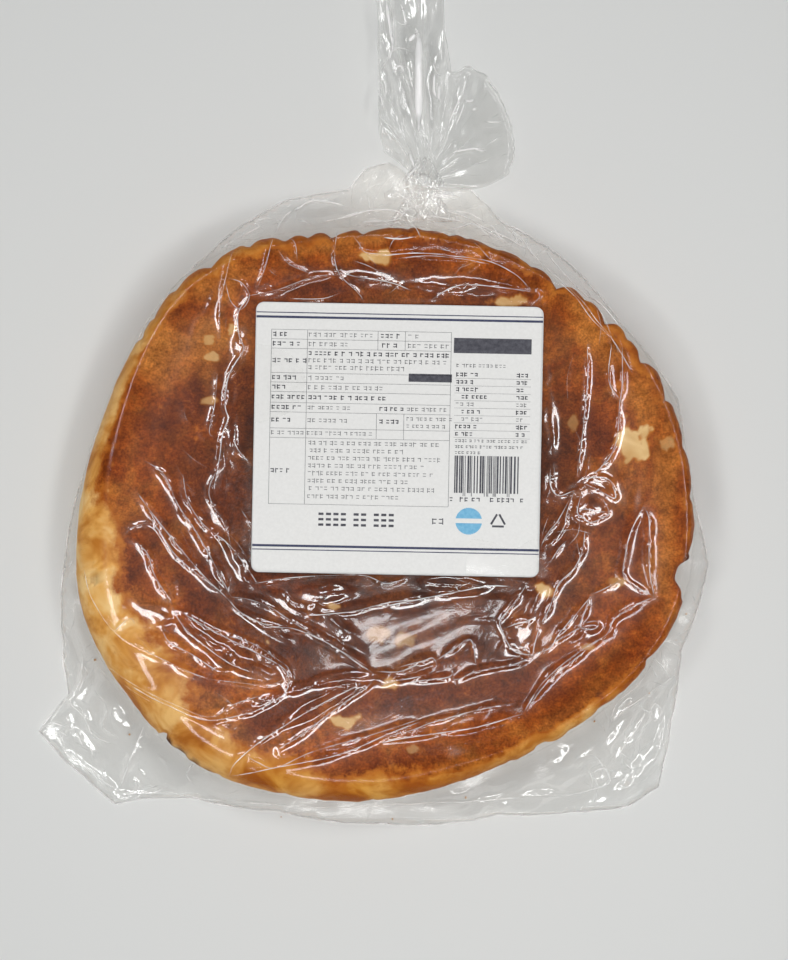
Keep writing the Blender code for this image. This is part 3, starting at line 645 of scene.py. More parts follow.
# Creases that stand up in the film: height, half width, painted gleam of its line, then x and y of the
# points along it
CREASES = (
    # left, from the face's edge to the label's corner
    (0.92, 2.6, 0.8, -92, 8, -83, -4, -69, -21, -58, -32),
    (0.55, 1.6, 0.6, -97, -8, -94, -5, -86, -4, -78, -15, -69, -23, -60, -31),
    (1.01, 2.6, 0.7, -89, 20, -82, 15, -77, 4, -69, -8, -62, -21, -57, -31),
    (0.83, 2.1, 0.7, -75, 15, -73, 5, -67, -4, -57, -12, -47, -26),
    (0.64, 1.6, 0.6, -60, 18, -63, 15, -65, 7, -59, -4, -57, -12),
    (0.74, 2.1, 0.6, -57, -31, -50, -32, -42, -35, -36, -39, -26, -45, -6, -57),
    (0.74, 2.1, 0.8, -58, -32, -53, -37, -42, -42, -33, -43, -21, -48, -12, -54, -3, -60),
    # left, the nested loops
    (0.74, 2.1, 0.6, -94, -9, -88, -15, -86, -22, -79, -34),
    (1.1, 3.1, 1.0, -79, -35, -74, -43, -67, -49, -57, -56, -50, -59),
    (0.92, 2.6, 0.9, -83, -43, -80, -48, -71, -53, -62, -59),
    (1.01, 2.6, 0.7, -77, -36, -61, -45, -45, -53, -36, -59, -36, -66, -42, -71, -52, -75, -67, -77,
     -82, -71, -95, -65),
    (0.55, 1.6, 0.5, -61, -45, -50, -48, -40, -54, -35, -59, -42, -64, -55, -63, -65, -62),
    (0.64, 2.1, 0.5, -113, -21, -110, -31, -101, -44, -91, -50, -75, -58, -65, -62),
    (0.64, 2.1, 0.5, -110, -55, -96, -63, -79, -71, -65, -76, -55, -71, -42, -67),
    (0.46, 1.6, 0.9, -101, -44, -95, -39, -93, -41),
    # bottom, the long arrow
    (1.29, 3.1, 0.9, -58, -99, -55, -93, -44, -84, -25, -72, -9, -64, -6, -62, -16, -62, -40, -68,
     -52, -74),
    (0.83, 2.1, 0.6, -3, -60, -5, -64, -12, -69, -31, -83, -39, -88, -38, -91, -35, -91),
    (1.01, 2.6, 0.8, -57, -99, -40, -95, -16, -90, 3, -82, 14, -78),
    (0.64, 2.1, 0.6, -52, -90, -47, -93, -40, -95, -26, -89, -5, -83, 14, -77),
    (0.92, 2.6, 0.8, -3, -59, 6, -59, 14, -56),
    (0.64, 2.1, 0.6, -3, -65, 3, -63, 14, -61),
    (1.1, 3.1, 1.0, -1, -86, 8, -84, 29, -81, 39, -79, 49, -76, 53, -75),
    (0.64, 2.1, 0.6, -1, -84, 11, -81, 19, -78, 38, -73, 50, -71),
    # bottom, the valley under the label
    (0.83, 2.6, 0.9, -29, -38, -16, -37, -9, -36, 3, -33, 14, -32),
    (0.92, 2.6, 1.0, -1, -35, 8, -33, 23, -30, 38, -27, 48, -27),
    (0.55, 1.6, 0.7, -48, -26, -36, -24, -21, -23, -7, -23, 2, -26, 11, -23),
    (0.55, 1.6, 0.6, 27, -24, 33, -26, 38, -27),
    (0.83, 2.1, 0.7, 4, -58, 15, -55, 19, -54, 21, -58),
    (0.74, 2.1, 0.7, 20, -55, 26, -51, 33, -47, 35, -56, 35, -58),
    (0.74, 2.1, 0.6, -1, -63, 13, -61, 21, -58),
    (0.83, 2.1, 0.7, 6, -64, 17, -62, 25, -61, 27, -58),
    (0.83, 2.1, 0.7, 25, -61, 28, -62, 35, -59, 50, -56, 60, -51),
    # right, below the label's corner
    (0.83, 2.1, 0.8, 55, -25, 51, -31, 47, -36, 44, -40, 45, -44, 49, -51, 56, -53),
    (0.64, 1.6, 1.0, 45, -43, 50, -41, 54, -40, 58, -38),
    (0.74, 2.1, 1.0, 49, -49, 53, -50, 56, -53, 57, -49, 59, -42),
    (0.92, 2.1, 0.9, 76, -6, 75, -13, 72, -20, 66, -26, 63, -34, 59, -42),
    (0.64, 1.6, 0.7, 72, 9, 69, 0, 68, -5, 63, -11, 58, -13),
    (0.64, 1.6, 0.7, 71, 7, 66, -2, 62, -7, 59, -13),
    (0.55, 1.6, 0.8, 63, -18, 66, -13, 69, -10),
    (0.92, 2.1, 0.7, 78, -30, 76, -36, 74, -42, 78, -43, 81, -42, 80, -40, 75, -41),
    (0.83, 2.1, 0.8, 78, -31, 72, -38, 66, -45, 63, -50, 56, -53),
    (0.64, 1.6, 0.6, 62, -50, 66, -47, 75, -42),
    (1.01, 2.6, 0.8, 98, 3, 93, -7, 91, -16, 91, -24, 102, -31),
    (1.01, 2.6, 0.8, 98, 3, 100, -2, 100, -19, 102, -31),
    (0.83, 2.1, 0.6, 91, -24, 81, -29, 78, -30),
    (1.01, 2.6, 0.7, 102, -31, 95, -34, 87, -39, 84, -45, 76, -50, 62, -61, 55, -71, 53, -75),
    (0.74, 2.1, 0.6, 84, -45, 75, -52, 61, -64, 54, -74),
    # right, beside the label
    (0.83, 2.1, 0.9, 75, 12, 79, 14, 85, 13, 87, 9, 87, 6, 81, 9, 75, 12),
    (0.64, 1.6, 0.8, 75, 9, 73, 1, 75, -1, 78, -3, 83, -1, 85, 1, 82, 7),
    (0.55, 1.6, 0.8, 73, 1, 76, 2, 81, 1, 85, 1),
    (0.74, 2.1, 0.6, 80, 15, 83, 19, 85, 23),
    (0.92, 2.6, 1.0, 63, 17, 63, 11, 66, 7, 72, 9),
    (0.83, 2.1, 0.7, 77, 64, 77, 51, 76, 40, 75, 29, 73, 14),
    (0.74, 2.1, 0.6, 86, 64, 85, 50, 90, 42),
    (0.74, 2.1, 0.7, 90, 63, 90, 50, 89, 41, 88, 29, 85, 21, 78, 14),
    # top right, round the shoulder
    (0.83, 2.1, 0.6, 59, 97, 67, 88, 75, 80, 81, 72, 86, 66, 94, 53),
    (0.64, 1.6, 0.6, 62, 91, 72, 82, 78, 74, 85, 67),
    (0.55, 1.6, 0.6, 79, 81, 83, 74, 86, 67),
    # top, above the label
    (0.74, 2.1, 0.8, -1, 97, 13, 98, 26, 97, 40, 95, 50, 90, 55, 85),
    (0.55, 1.6, 0.6, 5, 96, 17, 97, 29, 96, 40, 94),
    (0.92, 2.1, 1.0, 19, 81, 26, 85, 35, 86, 54, 84),
    (0.55, 1.6, 0.7, 57, 85, 59, 82, 56, 78),
    (0.55, 1.6, 0.5, 34, 103, 41, 95),
    (0.64, 1.6, 0.8, -16, 91, -9, 89, 3, 87, 11, 84),
    (0.64, 1.6, 0.6, -17, 107, -18, 97, -16, 90, -9, 83, -7, 80),
    (0.83, 2.1, 0.5, -51, 82, -40, 84, -26, 89, -16, 90),
    (0.64, 1.6, 0.5, -47, 85, -44, 93, -41, 105),
    (0.55, 1.6, 0.5, -39, 99, -35, 94, -26, 90),
    (0.46, 1.6, 0.5, -37, 105, -33, 102, -32, 95),
    (0.55, 1.6, 0.5, -12, 106, -9, 102, -5, 98, 14, 98),
    (0.46, 1.6, 0.7, -35, 81, -23, 81, -16, 83),
    # left, beside the label
    (0.64, 2.1, 0.4, -56, 101, -59, 88, -61, 78, -61, 66),
    (0.55, 1.6, 0.6, -59, 89, -53, 87, -50, 82, -53, 77, -57, 80, -59, 87),
    (0.83, 2.1, 0.8, -50, 82, -54, 76, -54, 68, -52, 62, -55, 57, -58, 51, -59, 41, -58, 36, -60, 30,
     -61, 22, -63, 11),
    (0.64, 1.6, 0.6, -62, 53, -63, 41, -65, 31, -63, 29),
    (0.64, 1.6, 0.6, -55, 34, -55, 26, -50, 19),
    # the shoulder, up to the knot
    (0.74, 1.6, 1.8, -8, 136, -6, 135, 1, 138, 7, 136, 11, 133),
    (0.64, 1.6, 1.8, 5, 125, 7, 124, 10, 123),
    (0.64, 1.6, 1.4, 10, 124, 14, 120),
    (0.64, 1.6, 1.4, 19, 123, 25, 125, 31, 125),
    (0.55, 1.6, 1.1, 27, 119, 34, 117),
    (0.64, 1.6, 1.6, 25, 110, 29, 111, 36, 114),
    (0.64, 1.6, 1.4, 38, 114, 43, 109),
    (0.74, 1.6, 1.6, 52, 113, 55, 107),
    (0.55, 1.6, 1.4, -9, 113, -2, 114, 3, 112, 6, 113, 7, 111, 6, 110),
    (0.46, 1.6, 1.3, -10, 112, -5, 111, 0, 112, 4, 111),
    (0.83, 1.6, 1.6, 7, 136, 13, 132, 18, 129, 25, 126, 34, 129),
    (0.74, 1.6, 1.6, 15, 127, 21, 124, 30, 124),
    (0.64, 1.6, 1.3, 27, 119, 34, 118, 40, 115),
    (0.74, 1.6, 1.6, 46, 117, 51, 112, 54, 106),
    (0.64, 1.6, 1.4, 36, 111, 42, 114, 46, 109, 50, 106),
    (0.64, 1.6, 1.8, -30, 125, -23, 123, -15, 121),
    (0.64, 1.6, 1.8, -19, 114, -11, 117, 0, 118, 7, 116.5, 5, 114, -8, 113),
    (0.64, 1.6, 1.8, 24, 119, 37, 114, 48, 109, 56, 104),
    (0.64, 1.6, 1.6, 51, 113, 55, 109, 59, 101),
    # the left shoulder, along the rim
    (0.74, 1.6, 1.8, -52, 115, -46, 117, -40, 115),
    (0.74, 1.6, 1.8, -34, 120, -29, 123.5, -21, 123.5),
    (0.64, 1.6, 1.6, -42, 110, -39, 117, -34, 121),
    (0.64, 1.6, 1.6, -64, 104.5, -54, 110, -48, 113.5),
    (0.64, 1.6, 1.6, -24, 113.5, -16, 115, -7, 117.5),
    # the right shoulder, along the rim
    (0.64, 1.6, 1.6, 17, 116, 29, 114, 41, 111, 48, 107),
    (0.64, 1.6, 1.4, 65, 103.5, 74, 90, 83, 80, 89, 71),
    # the lower left corner
    (1.76, 3, 0.8, -119, -55, -120, -66, -124, -75, -119, -78, -115, -89),
    (1.28, 2.2, 1.0, -136, -87, -132, -84, -127, -86),
    (1.44, 2.2, 0.5, -134, -91, -121, -100, -107, -111),
    (1.92, 3, 0.8, -105, -110, -99, -96, -93, -82),
    (1.44, 2.2, 1.0, -105, -113, -98, -112, -92, -112, -87, -110),
    (1.28, 2.2, 0.7, -87, -110, -75, -114, -62, -115.5),
    (0.96, 2.2, 0.6, -112, -60, -104, -66, -97, -69),
    (1.12, 2.2, 0.6, -113, -70, -108, -76, -110, -84, -104, -88),
    # the weld across the bag's lower end
    (0.72, 1.5, 0.7, -62, -115.5, -40, -115.5, -21, -115.5, 0, -114, 20, -113.5, 35, -113.5, 57, -112.7),
    (0.56, 1.5, 0.5, 60, -112.5, 75, -112.5, 90, -108),
    # the lower right corner
    (1.92, 3, 0.9, 104, -78, 101, -84, 96, -91, 91, -99),
    (1.28, 2.2, 0.8, 89, -82, 96, -75, 105, -71, 117, -65),
    (1.28, 2.2, 0.7, 89, -82, 91, -74, 99, -67, 105, -58),
    (1.6, 2.2, 1.0, 82, -104, 87, -101, 90, -107, 84, -109, 80, -107),
    (1.28, 2.2, 0.8, 94, -98, 99, -103, 97, -109, 92, -108),
    (1.28, 2.2, 0.9, 106, -80, 108, -76, 111, -79, 108, -83, 106, -80),
    (0.72, 1.5, 0.3, 112, -99, 117, -76, 119, -58),
    (0.72, 1.5, 0.3, 107, -101, 112, -84, 114, -70),
)
# Small creases strewn over a zone: middle, half sizes, bearing, spread, count, lengths, height, painted
# gleam
CREASE_ZONES = (
    (-66, -5, 14, 30, -55, 16, 7, (5, 20), 0.5, 0.5),
    (-64, 40, 9, 34, 88, 20, 8, (4, 14), 0.5, 0.4),
    (70, -2, 13, 22, 72, 30, 7, (4, 14), 0.6, 0.6),
    (80, 45, 12, 30, 100, 18, 6, (5, 18), 0.45, 0.4),
    (55, -45, 14, 14, 40, 40, 3, (4, 12), 0.5, 0.6),
    (5, -50, 32, 14, 12, 22, 3, (6, 18), 0.45, 0.5),
    (-75, -60, 26, 18, -35, 25, 3, (6, 20), 0.45, 0.5),
    (-5, 95, 48, 12, 8, 35, 15, (4, 14), 0.6, 0.6),
    (15, -84, 40, 9, 14, 14, 3, (8, 22), 0.45, 0.5),
    (30, 112, 30, 9, -10, 45, 26, (4, 14), 0.7, 1.5),
    (10, 125, 14, 6, 10, 40, 16, (4, 10), 0.7, 1.8),
    (98, -92, 3.5, 6, 52, 25, 16, (3, 8), 0.9, 1.2),
    (86, -104, 4.5, 4, 30, 60, 12, (3, 7), 0.9, 1.2),
    (98, -104, 4, 4.5, 60, 60, 8, (3, 7), 0.8, 1.0),
    (80, -99, 4, 3, 30, 20, 8, (2, 5), 0.6, 1.0),
    (-133, -87, 5, 3, -35, 25, 12, (3, 7), 0.7, 1.2),
    (-120, -68, 5, 12, 80, 40, 14, (3, 8), 0.8, 1.1),
    (-121, -91, 6, 6, -60, 30, 14, (4, 9), 0.9, 1.2),
    (-98, -111, 7, 2, 10, 40, 10, (3, 7), 0.6, 1.2),
)
CREASE_SEED = 11
# A strewn crease: its bend, its usual share of the zone's height, and between what it varies
STREWN_BEND, STREWN_SHARE = 0.25, 0.7
STREWN_HEIGHT, STREWN_WIDTH, STREWN_PAINTED_GLEAM = (0.4, 1.0), (1.2, 2.4), (0.1, 1.0)
# A crease is hollow on both sides, by this power. One taller than this stands on a broad base: how much
# wider than the crease, and its share of the height
CREASE_HOLLOW, TALL_CREASE, CREASE_BASE, BASE_SHARE = 1.8, 0.55, 2.6, 0.30
# How far creases lean, how far round them points are looked for, and how they taper to their ends:
# the least share, over what length
CREASE_LEAN, CREASE_MARGIN, END_SHARE, TAPER_LENGTH = 0.45, 1.5, 0.25, 9.0
# Along its way a crease sinks and rises in stretches
CREASE_SINKS = (9.0, 53, -0.5, 0.2, 0.45, 0.55)
# Places where the film leans just enough to throw a lamp's light back: middle, half length, half width,
# bearing
GLARES = (
    # the valley under the label
    (-26, -31.0, 7, 1.8, 8), (-18, -43, 8, 2.2, -38), (36, -27.5, 10, 1.6, -4),
    (-12, -62.6, 9, 1.6, 4), (52.5, -45.5, 4, 3.6, 60), (-38, -33, 6, 1.6, -30),
    # beside the label
    (63.3, 40, 9, 1.5, 92), (63.5, 12, 4, 1.5, 80), (80, 12, 5, 2.0, 20), (79, 1, 4, 1.6, 10),
    (61.5, 51, 2.4, 1.4, 90),
    (-57, 36, 8, 1.3, 90), (-54, 66, 4, 1.6, 80), (-59, -12, 8, 1.5, 120),
    # the nested loops on the left
    (-66, -52, 12, 2.6, -28), (-52, -58.5, 7, 2.6, -12), (-57, -49, 8, 2.0, -30),
    (-63, -81, 4, 2.4, -20),
    (-88, -37, 7, 1.8, -10), (-46, -42, 7, 1.4, -28), (-30, -76, 12, 1.4, 32),
    # above the label
    (-6, 89.5, 7, 2.0, -8), (36, 86, 14, 1.6, -2), (2, 97, 8, 1.6, 2), (48, 90, 6, 1.2, -32),
    # right
    (59, -33, 8, 1.5, 62), (80, -44, 6, 1.6, 30), (94, -5, 10, 1.4, 80), (52, -48, 5, 2.4, 30),
    (20, -80, 14, 1.5, 12),
    # the corners
    (99, -86, 11, 2.0, 56), (94, -94, 6, 3.0, 50), (109, -78, 2.6, 2.0, 70), (86, -105, 5, 2.0, 20),
    (62, -110, 5, 1.2, 5),
    (-131, -86.5, 5, 2.4, 30), (-120, -74, 8, 2.0, 60), (-97, -92, 7, 1.6, 66),
    (-96, -112, 8, 1.6, -4), (-117, -90, 5, 2.0, -60),
    (-2, 115, 8, 1.4, 0), (42, 112, 6, 1.4, -35),
)
# How steeply such a place leans at the middle of the bread, and how much less for each millimetre out
LEAN_AT_MIDDLE, LEAN_FALL, GLARE_LIFT = 0.289, 0.00167, 3.0
# How ragged its border is along and across, and how far and how sharply it fades
GLARE_RAGGED, GLARE_SPREAD, GLARE_FADE = ((6.0, 1.6, 91), (4.5, 0.9, 92)), 1.6, 1.7
# What such a place leaves of the waves, of the creases past the rim and of the loose folds is less by
WAVES_CALMED, CREASES_CALMED, FOLDS_CALMED = 0.8, 0.7, 0.85
# It keeps this far off the rim
GLARE_OFF_RIM = 5
# How far in from the rim the film clings at each bearing, and how far out
CLING_REACH, CLING_PAST_RIM = ((0, 18.0), (255, 18.0), (270, 24.0), (330, 23.0), (345, 18.0)), 5.0
# How much shine clinging takes at each bearing
CLING_DULLS = ((0, 0.86), (255, 0.88), (272, 1.0), (326, 1.0), (345, 0.86))
# It clings in patches, over this share of that way
CLING_FADE, CLING_PATCHES = (1.3, 0.5), (11.0, 74, 0.95, 0.60)
# By the knot the film is dull in patches and a little milky, the milkiness partly painted light that
# lifts the bread's shadow there: between what distances, and how much
KNOT_DULL, KNOT_PATCHES, KNOT_DULLS = (38, 24), (6.0, 77, 0.55, 0.1), 0.85
KNOT_MILK_AND_PAINTED_LIGHT, MILKINESS_AND_PAINTED_LIGHT = (50, 15), 0.20
# Past the rim the film is slack and greyer, less so near the neck, where the lighter tint is painted light
# against the bread's shadow: between what distances, how much less
SLACK_START, NECK_NEAR, NECK_PAINTED_LIGHT = (-2, 5), (130, 60), 0.75
# Crumpled folds of the loose film past the rim: size, height, seed; the circle they're laid out on, how
# low they may go, and their stretches
LOOSE_FOLDS = ((18.0, 2.6, 71), (8.0, 0.9, 72), (4.0, 0.35, 73))
LOOSE_ROUND, LOWEST_LOOSE, LOOSE_STRETCHES = 145.0, -0.8, (30.0, 75, -0.4, 0.5, 0.35, 0.85)
# The folds of the shoulder round the neck, how low they may go, how far they reach, and where they start
NECK_FOLDS = ((9.0, 1.3, 76), (4.5, 0.7, 77), (2.4, 0.35, 78))
LOWEST_NECK_FOLD, SHOULDER_REACH, SHOULDER_IN, SHOULDER_OUT = -1.0, 26.0, 3, 4
# The rise of the film to the neck: how high, how far, and how much shorter it is across than along
NECK_LIFT, NECK_LIFT_REACH, NECK_SQUASH = 1.0, 9.0, 0.7
# Slow waves of the tight film over the face: size, height, seed; how much lower they lie, from what
# width on, and how low they may go
TAUT_WAVES = ((32.0, 0.30, 31), (13.0, 0.05, 32))
TAUT_LOWER, TAUT_START, LOWEST_WAVE = 0.2, 12, -0.15
# A crumple over the rim: size, height, seed, and where it stops
RIM_CRUMPLE, CRUMPLE_STOP = (9.0, 0.5, 33), 2
# Finer waves where the film dips under the label: size, height, seed; middle, half sizes, bearing, stretch
VALLEY_WAVES = ((6.5, 0.11, 95), (3.0, 0.022, 96))
VALLEY_X, VALLEY_Y, VALLEY_HALF_X, VALLEY_HALF_Y = 4.0, -44.0, 50.0, 19.0
VALLEY_HEADING, VALLEY_STRETCH = 24.0, 3.2
# How far the film over the bread may dip, and how softly it stops there
DEEPEST_DIP, DIP_ROUNDING = 0.2, 0.15
# Between what widths the loose film folds, how much longer the folds are round the rim, and where they
# start and stop on the way from the rim to the edge
LOOSE_FROM, LOOSE_FULL, LOOSE_STRETCH = 5.0, 22.0, 2.4
LOOSE_START, LOOSE_STOP = (0, 0.25), (1.0, 0.9)
# Beside the label and inside the bag's edge the film is flat over this width
FLAT_BY_LABEL, FLAT_BY_EDGE = 3.0, 4.0
# The lower sheet: its height above the table, and its waves by size, height and seed
UNDER_HEIGHT, UNDER_WAVES = 0.15, (12.0, 0.25, 35)
# Crinkles that run out from the rim to the bag's edge: from bearing, to bearing, count, lean, height
RIM_CRINKLES = (
    (60, 118, 40, 30, 1.0), (118, 160, 9, 70, 0.5), (160, 200, 6, 70, 0.6), (200, 234, 14, 40, 0.7),
    (234, 296, 7, 80, 0.5), (296, 334, 16, 40, 0.7), (334, 360, 5, 50, 0.5), (0, 60, 12, 30, 0.6),
)
# A crinkle starts between these shares of the way out, is this long, and stops short of the edge
CRINKLE_START, CRINKLE_LENGTH, LEAST_CRINKLE, CRINKLE_OFF_EDGE = (0.0, 0.75), (3, 16), 2, 1.0
CRINKLE_BEND, CRINKLE_HEIGHT, CRINKLE_WIDTH, CRINKLE_PAINTED_GLEAM = 0.5, (0.3, 1.0), (1.5, 3.0), (0.1, 1.0)
# The film's points: how far out they go, how far apart the rows are, how they're jittered, by size,
# amount and seed, and how far off the creases they keep
GRID_REACH, ROW_SHARE, GRID_JITTER, OFF_CREASES = 170, math.sqrt(0.75), ((2.0, 0.12, 41),), 0.8
# Triangles are kept inside the border only, and points this near each other are made one
INSIDE_ONLY, SAME_POINT = 1, 0.05
# The bag's edge: degrees between its points, how it wanders, and how far inside it the points keep
BORDER_STEP, BORDER_ROUND, BORDER_WANDER, BORDER_IN, OFF_BORDER = 0.5, 130.0, ((6.0, 0.35, 42),), 0.35, 0.7
# Creases end this far off the label. Rings of points round the bread's side: degrees apart, and where
CREASE_OFF_LABEL, SIDE_RING_STEP, SIDE_RINGS = 0.5, 0.7, (0.0, 0.45, 0.8, 0.95, 1.0)
# The film's shine where it's seen straight on and at a slant, its two glosses' roughness, and how much
# of the light goes to the softer one
SHINE_STRAIGHT, SHINE_SLANT, SLANT_POWER = 0.110, 0.80, 4.0
FILM_ROUGHNESS, SOFT_SHARE = (0.11, 0.27), 0.28
TIGHT_TINT, SLACK_TINT, CLOUDY_PAINTED_LIGHT_TINT = (0.99, 0.99, 0.988, 1), (0.92, 0.92, 0.913, 1), (0.90, 0.87, 0.81, 1)


def past_label(x, y):
    """How far a place lies outside the label's edge, negative under the label."""
    across, up = along_across(x - LABEL_X, y - LABEL_Y, LABEL_TURN)
    return np.maximum(np.abs(across) - LABEL_WIDTH / 2, np.abs(up) - LABEL_LENGTH / 2)


def polar(x, y):
    return np.degrees(np.arctan2(y, x)) % 360, np.hypot(x, y)


def edge_reach(bearing):
    return np.maximum(around(EDGE_REACH, bearing), bread_reach(bearing) + EDGE_OFF_RIM)


def edge_height(bearing):
    """The height of the film's edge: near the table where it's loose, up the side where it's tight."""
    loose = np.minimum((edge_reach(bearing) - bread_reach(bearing)) / LOOSE_FILM, 1)
    lying = TIGHT_EDGE_HEIGHT + (LOOSE_EDGE_HEIGHT - TIGHT_EDGE_HEIGHT) * np.sin(loose * np.pi / 2)
    to_neck = np.exp(-(((bearing - NECK_BEARING) / NECK_SPREAD) ** 2))
    return lying + (NECK_HEIGHT - lying) * to_neck


def film_rims(bearing):
    """How far out the film leaves the bread's face, and how far out it leaves its side."""
    return face_reach(bearing) + FILM_OFF_FACE, bread_reach(bearing) + FILM_OFF_RIM


def way_out(reach, widest, edge):
    """How far a place is on its way from the rim to the bag's edge, from 0 to 1."""
    return np.clip((reach - widest) / np.maximum(edge - widest, LEAST_LOOSE), 0, 1)


def smooth_run(points, step=CREASE_STEP):
    """A rounded line through the points, with points about a step apart."""
    points = np.array(points, float).reshape(-1, 2)
    ends = np.vstack([2 * points[0] - points[1], points, 2 * points[-1] - points[-2]])
    line = [points[0]]
    for before, start, end, after in zip(ends, ends[1:], ends[2:], ends[3:]):
        count = max(1, round(float(np.hypot(*(end - start))) / step))
        swing = 2 * before - 5 * start + 4 * end - after
        turn = 3 * start - before - 3 * end + after
        for k in range(1, count + 1):
            t = k / count
            line.append(start + 0.5 * ((end - before) * t + swing * t**2 + turn * t**3))
    return np.array(line)


def bent_line(x, y, run, angle, bend):
    """Two straight halves of a run from a place, the second turned by the bend."""
    line = [(x, y)]
    for way in (angle, angle + bend):
        line.append((line[-1][0] + 0.5 * run * math.cos(way), line[-1][1] + 0.5 * run * math.sin(way)))
    return line


def strewn_creases():
    """The film's smaller creases, drawn at random inside their zones and round the rim."""
    draw = np.random.default_rng(CREASE_SEED)
    found = []
    for mid_x, mid_y, half_x, half_y, heading, spread, count, lengths, height, shine in CREASE_ZONES:
        for _ in range(count):
            x, y = mid_x + half_x * draw.uniform(-1, 1), mid_y + half_y * draw.uniform(-1, 1)
            run = draw.uniform(*lengths)
            angle = math.radians(heading + spread * draw.normal())
            line = bent_line(x, y, run, angle, draw.normal() * STREWN_BEND)
            tall = STREWN_SHARE * height * draw.uniform(*STREWN_HEIGHT)
            half_width = draw.uniform(*STREWN_WIDTH)
            found.append((tall, half_width, shine * draw.uniform(*STREWN_PAINTED_GLEAM), *line))
    for first, last, count, lean, height in RIM_CRINKLES:
        for _ in range(count):
            bearing = draw.uniform(first, last)
            rim, edge = float(bread_reach(bearing)), float(edge_reach(bearing))
            start = rim + (edge - rim) * draw.uniform(*CRINKLE_START)
            run = min(edge - start - CRINKLE_OFF_EDGE, draw.uniform(*CRINKLE_LENGTH))
            if run < LEAST_CRINKLE:
                continue
            angle = math.radians(bearing + lean * draw.normal())
            line = bent_line(*at_bearing(bearing, start), run, angle, CRINKLE_BEND * draw.normal())
            tall, half_width = height * draw.uniform(*CRINKLE_HEIGHT), draw.uniform(*CRINKLE_WIDTH)
            found.append((tall, half_width, draw.uniform(*CRINKLE_PAINTED_GLEAM), *line))
    return found


def crease_relief(x, y, creases):
    """How far the creases raise the film at each place. Each is a leaning tent, lower at its ends."""
    draw = np.random.default_rng(CREASE_SEED + 1)
    relief = np.zeros_like(x)
    for index, (height, half_width, _, line) in enumerate(creases):
        lean = draw.uniform(-CREASE_LEAN, CREASE_LEAN)
        base = CREASE_BASE * half_width if height > TALL_CREASE else half_width
        reach = base * CREASE_MARGIN
        low, high = line.min(0) - reach, line.max(0) + reach
        near = np.flatnonzero((x > low[0]) & (x < high[0]) & (y > low[1]) & (y < high[1]))
        if not len(near):
            continue
        start, run = line[:-1], np.diff(line, axis=0)
        off = np.stack([x[near], y[near]], 1)[:, None] - start[None]
        part = np.clip((off * run).sum(2) / (run**2).sum(1), 0, 1)
        gap = off - part[..., None] * run
        distance = np.hypot(gap[..., 0], gap[..., 1])
        closest = distance.argmin(1)
        row = np.arange(len(near))
        side = np.sign(run[closest, 0] * gap[row, closest, 1] - run[closest, 1] * gap[row, closest, 0])
        width = 1 + lean * side
        sharp = np.clip(1 - distance[row, closest] / (half_width * width), 0, 1) ** CREASE_HOLLOW
        broad = np.clip(1 - distance[row, closest] / (base * width), 0, 1) ** CREASE_HOLLOW
        tent = (1 - BASE_SHARE) * sharp + BASE_SHARE * broad
        length = np.hypot(run[:, 0], run[:, 1])
        travelled = np.append(0, np.cumsum(length))[closest] + part[row, closest] * length[closest]
        ends = np.minimum(travelled, length.sum() - travelled)
        taper = END_SHARE + (1 - END_SHARE) * ease(0, min(TAPER_LENGTH, 0.5 * length.sum()), ends)
        taper = taper * patches(travelled, np.full_like(travelled, 40.0 * index), *CREASE_SINKS)
        relief[near] = np.maximum(relief[near], height * tent * taper)
    return relief


def bare_film(x, y):
    """Height of the film without its creases, over the bread, down its side and out to the bag's edge."""
    bearing, reach = polar(x, y)
    face, widest = film_rims(bearing)
    edge, lip = edge_reach(bearing), edge_height(bearing)
    over_face = FILM_HEIGHT + face_swell(x, y, face_reach(bearing) - reach)
    side = np.clip((reach - face) / (widest - face), 0, 1)
    down_side = WIDEST_HEIGHT + (FILM_HEIGHT - WIDEST_HEIGHT) * np.sqrt(1 - side**2)
    past_rim = lip + (WIDEST_HEIGHT - lip) * (1 - way_out(reach, widest, edge)) ** FILM_SAG
    return np.where(reach <= face, over_face, np.where(reach <= widest, down_side, past_rim))


def glare_relief(x, y):
    """Small flat leaning places in the film: how far each moves it, and how much of one is there."""
    relief, here = np.zeros_like(x), np.zeros_like(x)
    bare = bare_film(x, y)
    ragged = [height * lumps(x, y, size, seed) for size, height, seed in GLARE_RAGGED]
    for mid_x, mid_y, half_length, half_width, heading in GLARES:
        off_x, off_y = x - mid_x, y - mid_y
        along, across = along_across(off_x, off_y, heading)
        along = (along + ragged[0]) / (GLARE_SPREAD * half_length)
        across = (across + ragged[1]) / (GLARE_SPREAD * half_width)
        fade = np.exp(-((along**2 + across**2) ** GLARE_FADE))
        reach = math.hypot(mid_x, mid_y)
        out_x, out_y = mid_x / reach, mid_y / reach
        turned = math.atan2(mid_y, mid_x) - math.radians(heading)
        depth = min(math.hypot(half_length * math.cos(turned), half_width * math.sin(turned)), GLARE_LIFT)
        lean = LEAN_AT_MIDDLE - LEAN_FALL * reach
        level = float(bare_film(mid_x, mid_y))
        plane = level + lean * (depth - off_x * out_x - off_y * out_y)
        mine = fade > here
        relief = np.where(mine, fade * (plane - bare), relief)
        here = np.where(mine, fade, here)
    return relief, here


def folds(x, y, sizes):
    """Sharp folds and flat faces between them, as in crumpled film."""
    relief = np.zeros_like(x)
    for size, height, seed in sizes:
        relief += height * (1 - 2 * np.abs(lumps(x, y, size, seed)))
    return relief


def valley_waves(x, y):
    """Long low waves in the film under the label, running aslant."""
    along, across = along_across(x, y, VALLEY_HEADING)
    here = np.exp(-(np.hypot((x - VALLEY_X) / VALLEY_HALF_X, (y - VALLEY_Y) / VALLEY_HALF_Y) ** 4))
    return here * rough(along / VALLEY_STRETCH, across, VALLEY_WAVES)


